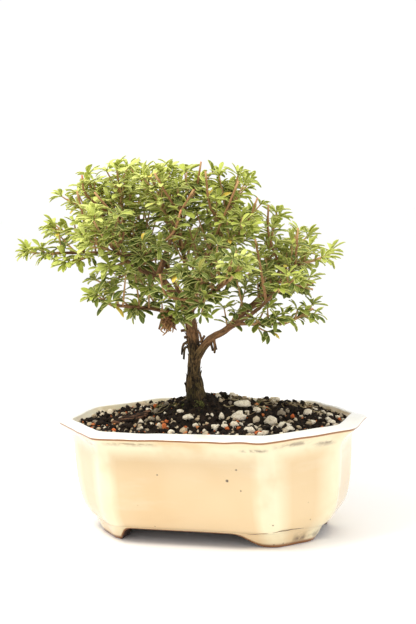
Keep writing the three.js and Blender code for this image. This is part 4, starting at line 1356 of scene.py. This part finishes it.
# How much younger and paler leaves are higher in the crown; part of it is painted light from above
YOUTH_AND_LIGHT_BY_HEIGHT = 0.5
YOUTH_STRAY = (-0.04, 0.1)
TIP_YOUNGER = 0.12
TIP_YOUNGER_BY_HEIGHT = 0.25
GOLDEN_ANGLE = pi * (3 - sqrt(5))
TWIG_SIDES = 6
SHOOT_RADIUS = 1.15
SHOOT_TIP_RADIUS = 0.4
CUT_TIP_RADIUS = 0.62
LEAFY_SHARE = 0.74
CUT_LENGTH = 3
SHOOT_SAG = 0.04
SHOOT_CEILING = 236
CEILING_SLOPE = 0.13
ROSETTE_ROOM = 0.4
SIDE_SHOOT_REACH = 0.4
SIDE_SHOOT_LONGEST = 20
SIDE_SHOOT_PITCH = 5.6
SIDE_SHOOT_SAG = 0.05
SIDE_SHOOT_LEANS = (0.7, 1.05)
SIDE_SHOOT_RISE = 0.42
SIDE_SHOOT_RISE_BY_HEIGHT = 0.43
SIDE_SHOOTS_FROM = 0.12
SIDE_SHOOTS_OVER = 0.74
SIDE_SHOOT_RADIUS = 0.65 * SHOOT_RADIUS
LEAF_PITCH = 4.6
LEAF_LENGTH = 11
LEAF_WIDTH = 3.5
LEAF_THICKNESS = 0.26
LEAF_OUTLINE = [(0, 0.16), (0.2, 0.26), (0.45, 0.76), (0.68, 1), (0.88, 0.76), (1, 0.22)]
LEAF_BENDS = [(0.14, 0.07), (0.32, 0.06), (0.5, 0.04)]
LEAF_SIZES = (0.75, 1.15)
TUFT_LEAF_SIZES = (0.5, 0.85)
ROSETTE_LEAF_SIZES = (0.6, 1.05)
FACE_TO_LIGHT = 3.2
LEAF_OLD = (0.078, 0.118, 0.022)
LEAF_GREEN = (0.450, 0.520, 0.075)
LEAF_LIME = (0.680, 0.750, 0.215)
LEAF_RIM = (0.740, 0.740, 0.260)
LEAF_UNDER = (0.440, 0.475, 0.095)
LEAF_YELLOWED = (0.760, 0.550, 0.080)
TWIG_BROWN = (0.300, 0.145, 0.058)
TWIG_TAN = (0.520, 0.310, 0.140)
TWIG_CUT = (0.640, 0.260, 0.130)


def leaf_green(under):
    """Leaf skin: dark and greyish when old, lime when young, with a pale rim and middle vein."""
    finish = Finish("leaf_underside" if under else "leaf_face", 0.5, specular=0.18)
    # The youth value sets the colour from dark to lime; it also carries painted light high in the crown and
    # painted shade on shaded sprays and sprouts
    youth = finish.drawn("youth")
    chance = finish.drawn("chance")
    aged = finish.math(youth, finish.ramp(chance, 0, 1, -0.16, 0.16), "ADD")
    color = finish.blend(finish.ramp(aged, 0.08, 0.5), LEAF_OLD, LEAF_GREEN)
    color = finish.blend(finish.ramp(aged, 0.45, 0.95), color, LEAF_LIME)
    mottled = finish.patches(500, 0.35, 0.7, 0.25, detail=3)
    color = finish.blend(mottled, color, LEAF_UNDER)
    color = finish.blend(finish.ramp(chance, 0.987, 0.992), color, LEAF_YELLOWED)
    if under:
        color = finish.blend(0.55, color, LEAF_UNDER)
    spread = finish.add("SeparateXYZ", {0: finish.add("UVMap").outputs["UV"]})
    middle = finish.math(finish.math(spread.outputs["X"], 0.5, "SUBTRACT"), 0, "ABSOLUTE")
    vein = finish.ramp(middle, 0.02, 0.08, 0.25, 0)
    color = finish.blend(vein, color, LEAF_RIM)
    rim = finish.ramp(middle, 0.43, 0.5, 0, 0.8)
    color = finish.blend(rim, color, LEAF_RIM)
    groove = finish.bump(finish.ramp(middle, 0, 0.14), 0.25 * MM)
    return finish.done(Base_Color=color, Normal=groove)


def twig_skin():
    finish = Finish("twig_skin", 0.75, specular=0.3)
    youth = finish.drawn("youth")
    color = finish.blend(finish.ramp(youth, 0.15, 0.65), TWIG_BROWN, TWIG_TAN)
    color = finish.blend(finish.patches(800, 0.5, 0.75, 0.5, detail=3), color, TWIG_BROWN)
    color = finish.blend(finish.ramp(youth, 0.97, 1), color, TWIG_CUT)
    rough = finish.bump(finish.cloud(1400, detail=3), 0.25 * MM)
    return finish.done(Base_Color=color, Normal=rough)


LEAF_SKINS = [twig_skin(), leaf_green(False), leaf_green(True)]


def leaf_shape(arch, fold):
    """One leaf with its foot at the origin, along X: a spatula, folded along its vein and arched."""
    bm = bmesh.new()
    bm.loops.layers.uv.new("UVMap")
    rows = len(LEAF_OUTLINE)
    bmesh.ops.create_grid(bm, x_segments=2, y_segments=rows - 1, size=1, calc_uvs=True)
    for vert in bm.verts:
        reach, width = LEAF_OUTLINE[round((vert.co.y + 1) / 2 * (rows - 1))]
        side = vert.co.x
        rise = fold * width * abs(side) - arch * reach ** 2
        inward = 1 - 0.35 * arch * reach ** 2
        across = -side * width * LEAF_WIDTH / 2
        vert.co = Vector((reach * inward * LEAF_LENGTH, across, rise * LEAF_LENGTH))
    bmesh.ops.recalc_face_normals(bm, faces=bm.faces)
    top = bm.faces[:]
    if sum(face.normal.z for face in top) < 0:
        bmesh.ops.reverse_faces(bm, faces=top)
    for face in top:
        face.material_index = 1
    bmesh.ops.solidify(bm, geom=top, thickness=LEAF_THICKNESS)
    for face in bm.faces:
        if face.normal.z < -0.2:
            face.material_index = 2
    return as_mesh(bm, "leaf_pattern")


LEAF_PATTERNS = [leaf_shape(arch, fold) for arch, fold in LEAF_BENDS]


class Spray:
    """A leafy piece in the making: its mesh, with a youth and a chance value at each point."""

    def __init__(self, seed):
        self.random = Random(seed)
        self.bm = bmesh.new()
        self.youth = self.bm.verts.layers.float.new("youth")
        self.chance = self.bm.verts.layers.float.new("chance")

    def add_twig(self, route, thick, youth, cut=False):
        """A tapered twig; one that was cut shows its pink end."""
        rows = max(4, round(route.length() / 4))
        tip = CUT_TIP_RADIUS if cut else SHOOT_TIP_RADIUS
        skin = add_tube(self.bm, route, rows, TWIG_SIDES, lambda t, turn: thick + (tip - thick) * t)
        end = place(route.at(1))
        for vert in skin:
            vert[self.youth] = 1 if cut and (vert.co - end).length < CUT_LENGTH * MM else youth

    def add_leaf(self, foot, tangent, outward, lean, size, youth):
        """A leaf that leans away from the shoot and turns its face to the light."""
        random = self.random
        along = cos(lean) * tangent + sin(lean) * outward
        along.z *= 0.3 if along.z < 0 else 0.6
        along.normalize()
        face = sin(lean) * tangent - cos(lean) * outward + Vector((0, 0, FACE_TO_LIGHT))
        face = (face - face.dot(along) * along).normalized()
        across = face.cross(along)
        roll = random.gauss(0, 0.3)
        across, face = cos(roll) * across + sin(roll) * face, cos(roll) * face - sin(roll) * across
        turn = Matrix((along, across, face)).transposed()
        pattern = LEAF_PATTERNS[random.choices((0, 1, 2), weights=(3 + 3 * youth, 3, 1))[0]]
        stretch = Vector((size, size * random.uniform(0.85, 1.12), size))
        tone = random.random()
        for vert in add_copy(self.bm, pattern):
            vert.co = place(foot + turn @ (vert.co * stretch))
            vert[self.youth] = youth
            vert[self.chance] = tone

    def add_leaves(self, route, first, youth, tip_youth, last=1):
        """Pairs of leaves with tufts between them along a shoot, and a rosette at its tip."""
        random = self.random
        length = route.length()
        joints = max(2, round(length * (last - first) / LEAF_PITCH))
        spin = random.uniform(0, pi)
        for joint in range(joints):
            t = first + (0.96 * last - first) * joint / (joints - 1)
            tangent = route.tangent(t)
            here = youth + (tip_youth - youth) * t * t
            for side in (0, 1):
                turn = spin + joint * pi / 2 + side * pi
                foot = route.at(t)
                size = random.uniform(*LEAF_SIZES)
                lean = random.uniform(1, 1.45) - 0.35 * t
                self.add_leaf(foot, tangent, route.across(t, turn), lean, size, here)
                for _ in range(random.choice((0, 0, 1))):
                    aside = route.across(t, turn + random.gauss(0, 0.55))
                    small = random.uniform(*TUFT_LEAF_SIZES)
                    self.add_leaf(foot, tangent, aside, random.uniform(0.6, 1.3), small, here + 0.08)
        count = random.randint(5, 7)
        tip = route.at(last)
        for leaf in range(count):
            aside = route.across(last, spin + leaf * 2 * pi / count + random.gauss(0, 0.2))
            size = random.uniform(*ROSETTE_LEAF_SIZES)
            self.add_leaf(tip, route.tangent(last), aside, random.uniform(0.45, 1.15), size, tip_youth)

    def done(self, name, replaced=()):
        """Makes what has grown a piece of the part."""
        finished(self.bm, name, LEAF_SKINS, replaced)


def shoot_route(foot, heading, length, sag):
    """A shoot's route, which sags by a share of its length and stays below the crown's top."""
    ceiling = SHOOT_CEILING - CEILING_SLOPE * foot.x
    length = min(length, (ceiling - foot.z) / max(0.01, heading.z))
    tip = foot + length * heading
    middle = foot.lerp(tip, 0.5) - Vector((0, 0, sag * length))
    return Growth([foot, middle, tip])


def crown_height(z):
    """How high in the crown a height is, from 0 at its lower sprays to 1 near its top."""
    return clamp((z - CROWN_LOW) / CROWN_RISE)


def make_spray(number, limb, share, tip):
    spray = Spray(100 + number)
    random = spray.random
    start = LIMB_ROUTES[limb].at(share)
    target = Vector(tip)
    reach = (target - start).length
    heading = (target - start).normalized()
    bare = number in BARE_TIPS
    length = reach - (0 if bare else ROSETTE_ROOM * LEAF_LENGTH)
    main = shoot_route(start, heading, length, SHOOT_SAG)
    height = crown_height(target.z)
    # The listed shift: positive for younger growth, negative as painted shade
    youth_and_shade_shift = YOUTH_AND_SHADE_SHIFT.get(number, 0)
    # Higher leaves are younger and paler, partly as painted light from above
    youth = LEAST_YOUTH + YOUTH_AND_LIGHT_BY_HEIGHT * height + youth_and_shade_shift + random.uniform(*YOUTH_STRAY)
    tip_youth = youth + TIP_YOUNGER + TIP_YOUNGER_BY_HEIGHT * height + 0.6 * max(0, youth_and_shade_shift)
    fullness = SLIM_FULLNESS if number in SLIM_SPRAYS else 1
    spray.add_twig(main, SHOOT_RADIUS, 0.45 + 0.3 * youth, bare)
    spray.add_leaves(main, 0.16, youth, tip_youth, LEAFY_SHARE if bare else 1)
    count = max(3, round(fullness * reach / SIDE_SHOOT_PITCH))
    spin = random.uniform(0, 2 * pi)
    for shoot in range(count):
        t = SIDE_SHOOTS_FROM + SIDE_SHOOTS_OVER * shoot / (count - 1)
        lean = random.uniform(*SIDE_SHOOT_LEANS)
        away = main.across(t, spin + shoot * GOLDEN_ANGLE)
        rise = SIDE_SHOOT_RISE + SIDE_SHOOT_RISE_BY_HEIGHT * height
        heading = cos(lean) * main.tangent(t) + sin(lean) * away + Vector((0, 0, rise))
        length = min(SIDE_SHOOT_LONGEST, SIDE_SHOOT_REACH * reach) * (1.15 - 0.5 * t)
        length *= fullness * random.uniform(0.75, 1.1)
        side = shoot_route(main.at(t), heading.normalized(), length, SIDE_SHOOT_SAG)
        spray.add_twig(side, SIDE_SHOOT_RADIUS, 0.5 + 0.3 * youth)
        spray.add_leaves(side, 0.22, youth, tip_youth)
    spray.done(f"fine_spray_{number:02}", [f"leafy_spray_{number:02}"])


for number, (limb, share, tip) in enumerate(SPRAYS, 1):
    make_spray(number, limb, share, tip)

# Sprouts. Short young shoots that stand up from the limbs between the sprays, leafy from near
# their feet. Those on the front and left limbs stand in the crown's shade, and their leaves are
# painted darker as painted shade.
SPROUTS = {
    "right": 12, "right_upper": 16, "left": 15, "middle": 13, "top": 14, "back": 12, "back_left": 11,
    "back_right": 8, "front": 13, "front_left": 8, "far_left": 5, "low_left": 6,
}
SPROUT_RADIUS = 0.75
SPROUT_LENGTHS = (12, 30)
SHADED_LIMBS = {"left", "middle", "front_left", "front"}
# How much darker the leaves on shaded limbs are painted: painted shade
PAINTED_SHADE_BY = 0.2


def make_sprouts(limb, count):
    sprouts = Spray(f"sprouts {limb}")
    random = sprouts.random
    route = LIMB_ROUTES[limb]
    for sprout in range(count):
        t = 0.3 + 0.68 * (sprout + random.random()) / count
        away = route.across(t, sprout * GOLDEN_ANGLE)
        heading = (0.8 * away + Vector((0, 0, 1.1)) + 0.3 * route.tangent(t)).normalized()
        twig = shoot_route(route.at(t), heading, random.uniform(*SPROUT_LENGTHS), 0)
        # Higher sprouts are paler, partly painted light; those on shaded limbs are darker, as painted shade
        youth = 0.36 * crown_height(twig.at(1).z) - (PAINTED_SHADE_BY if limb in SHADED_LIMBS else 0)
        sprouts.add_twig(twig, SPROUT_RADIUS, 0.55)
        sprouts.add_leaves(twig, 0.25, youth, youth + 0.2)
    sprouts.done(f"sprouts_{limb}")


for limb, count in SPROUTS.items():
    make_sprouts(limb, count)

# Cut shoots. Long straight shoots that stick out of the crown, whose ends were cut off: a bare
# tan tip above a few pairs of leaves. Each has its limb, its start along it, a bend and a tip.
WANDS = [
    ("middle", 0.75, (-8, -33, 218), (-15, -42, 236)), ("right_upper", 0.7, (15, -26, 214), (15, -32, 236)),
    ("middle", 0.95, (6, -23, 228), (11, -28, 242)), ("front_left", 0.8, (-35, -50, 203), (-48, -61, 226)),
    ("far_left", 0.73, (-60, -52, 206), (-61, -58, 227)), ("left", 0.9, (-64, -37, 224), (-64, -43, 237)),
    ("front", 0.5, (-3, -60, 161), (-5, -67, 175)),
    ("right_upper", 0.55, (21, -27, 201), (35, -28, 229)),
    ("right_upper", 0.7, (34, -12, 203), (43, -15, 218)),
    ("right", 0.9, (45, 1, 193), (47, -5, 213)), ("front_right", 0.73, (47, -30, 179), (47, -37, 193)),
    ("right", 0.97, (64, -7, 177), (68, -13, 198)), ("middle", 0.7, (1, -41, 212), (11, -44, 225)),
    ("front_left", 0.53, (-5, -46, 197), (4, -49, 213)), ("right", 0.83, (56, -17, 165), (77, -16, 160)),
]
WAND_RADIUS = 0.95
WAND_PITCH = 5.5


def make_wands():
    wands = Spray("wands")
    random = wands.random
    for limb, share, bend, tip in WANDS:
        route = Growth([LIMB_ROUTES[limb].at(share), bend, tip])
        wands.add_twig(route, WAND_RADIUS, 0.3, True)
        height = crown_height(tip[2])
        spin = random.uniform(0, pi)
        joints = round(0.6 * route.length() / WAND_PITCH)
        for leaf in range(2 * joints):
            joint = leaf // 2
            t = 0.32 + 0.56 * joint / joints
            away = route.across(t, spin + joint * pi / 2 + leaf * pi)
            size = random.uniform(0.7, 1.1)
            youth = 0.1 + 0.4 * height * t
            wands.add_leaf(route.at(t), route.tangent(t), away, random.uniform(0.7, 1.2), size, youth)
    wands.done("cut_shoots")


make_wands()
for pattern in LEAF_PATTERNS:
    bpy.data.meshes.remove(pattern)
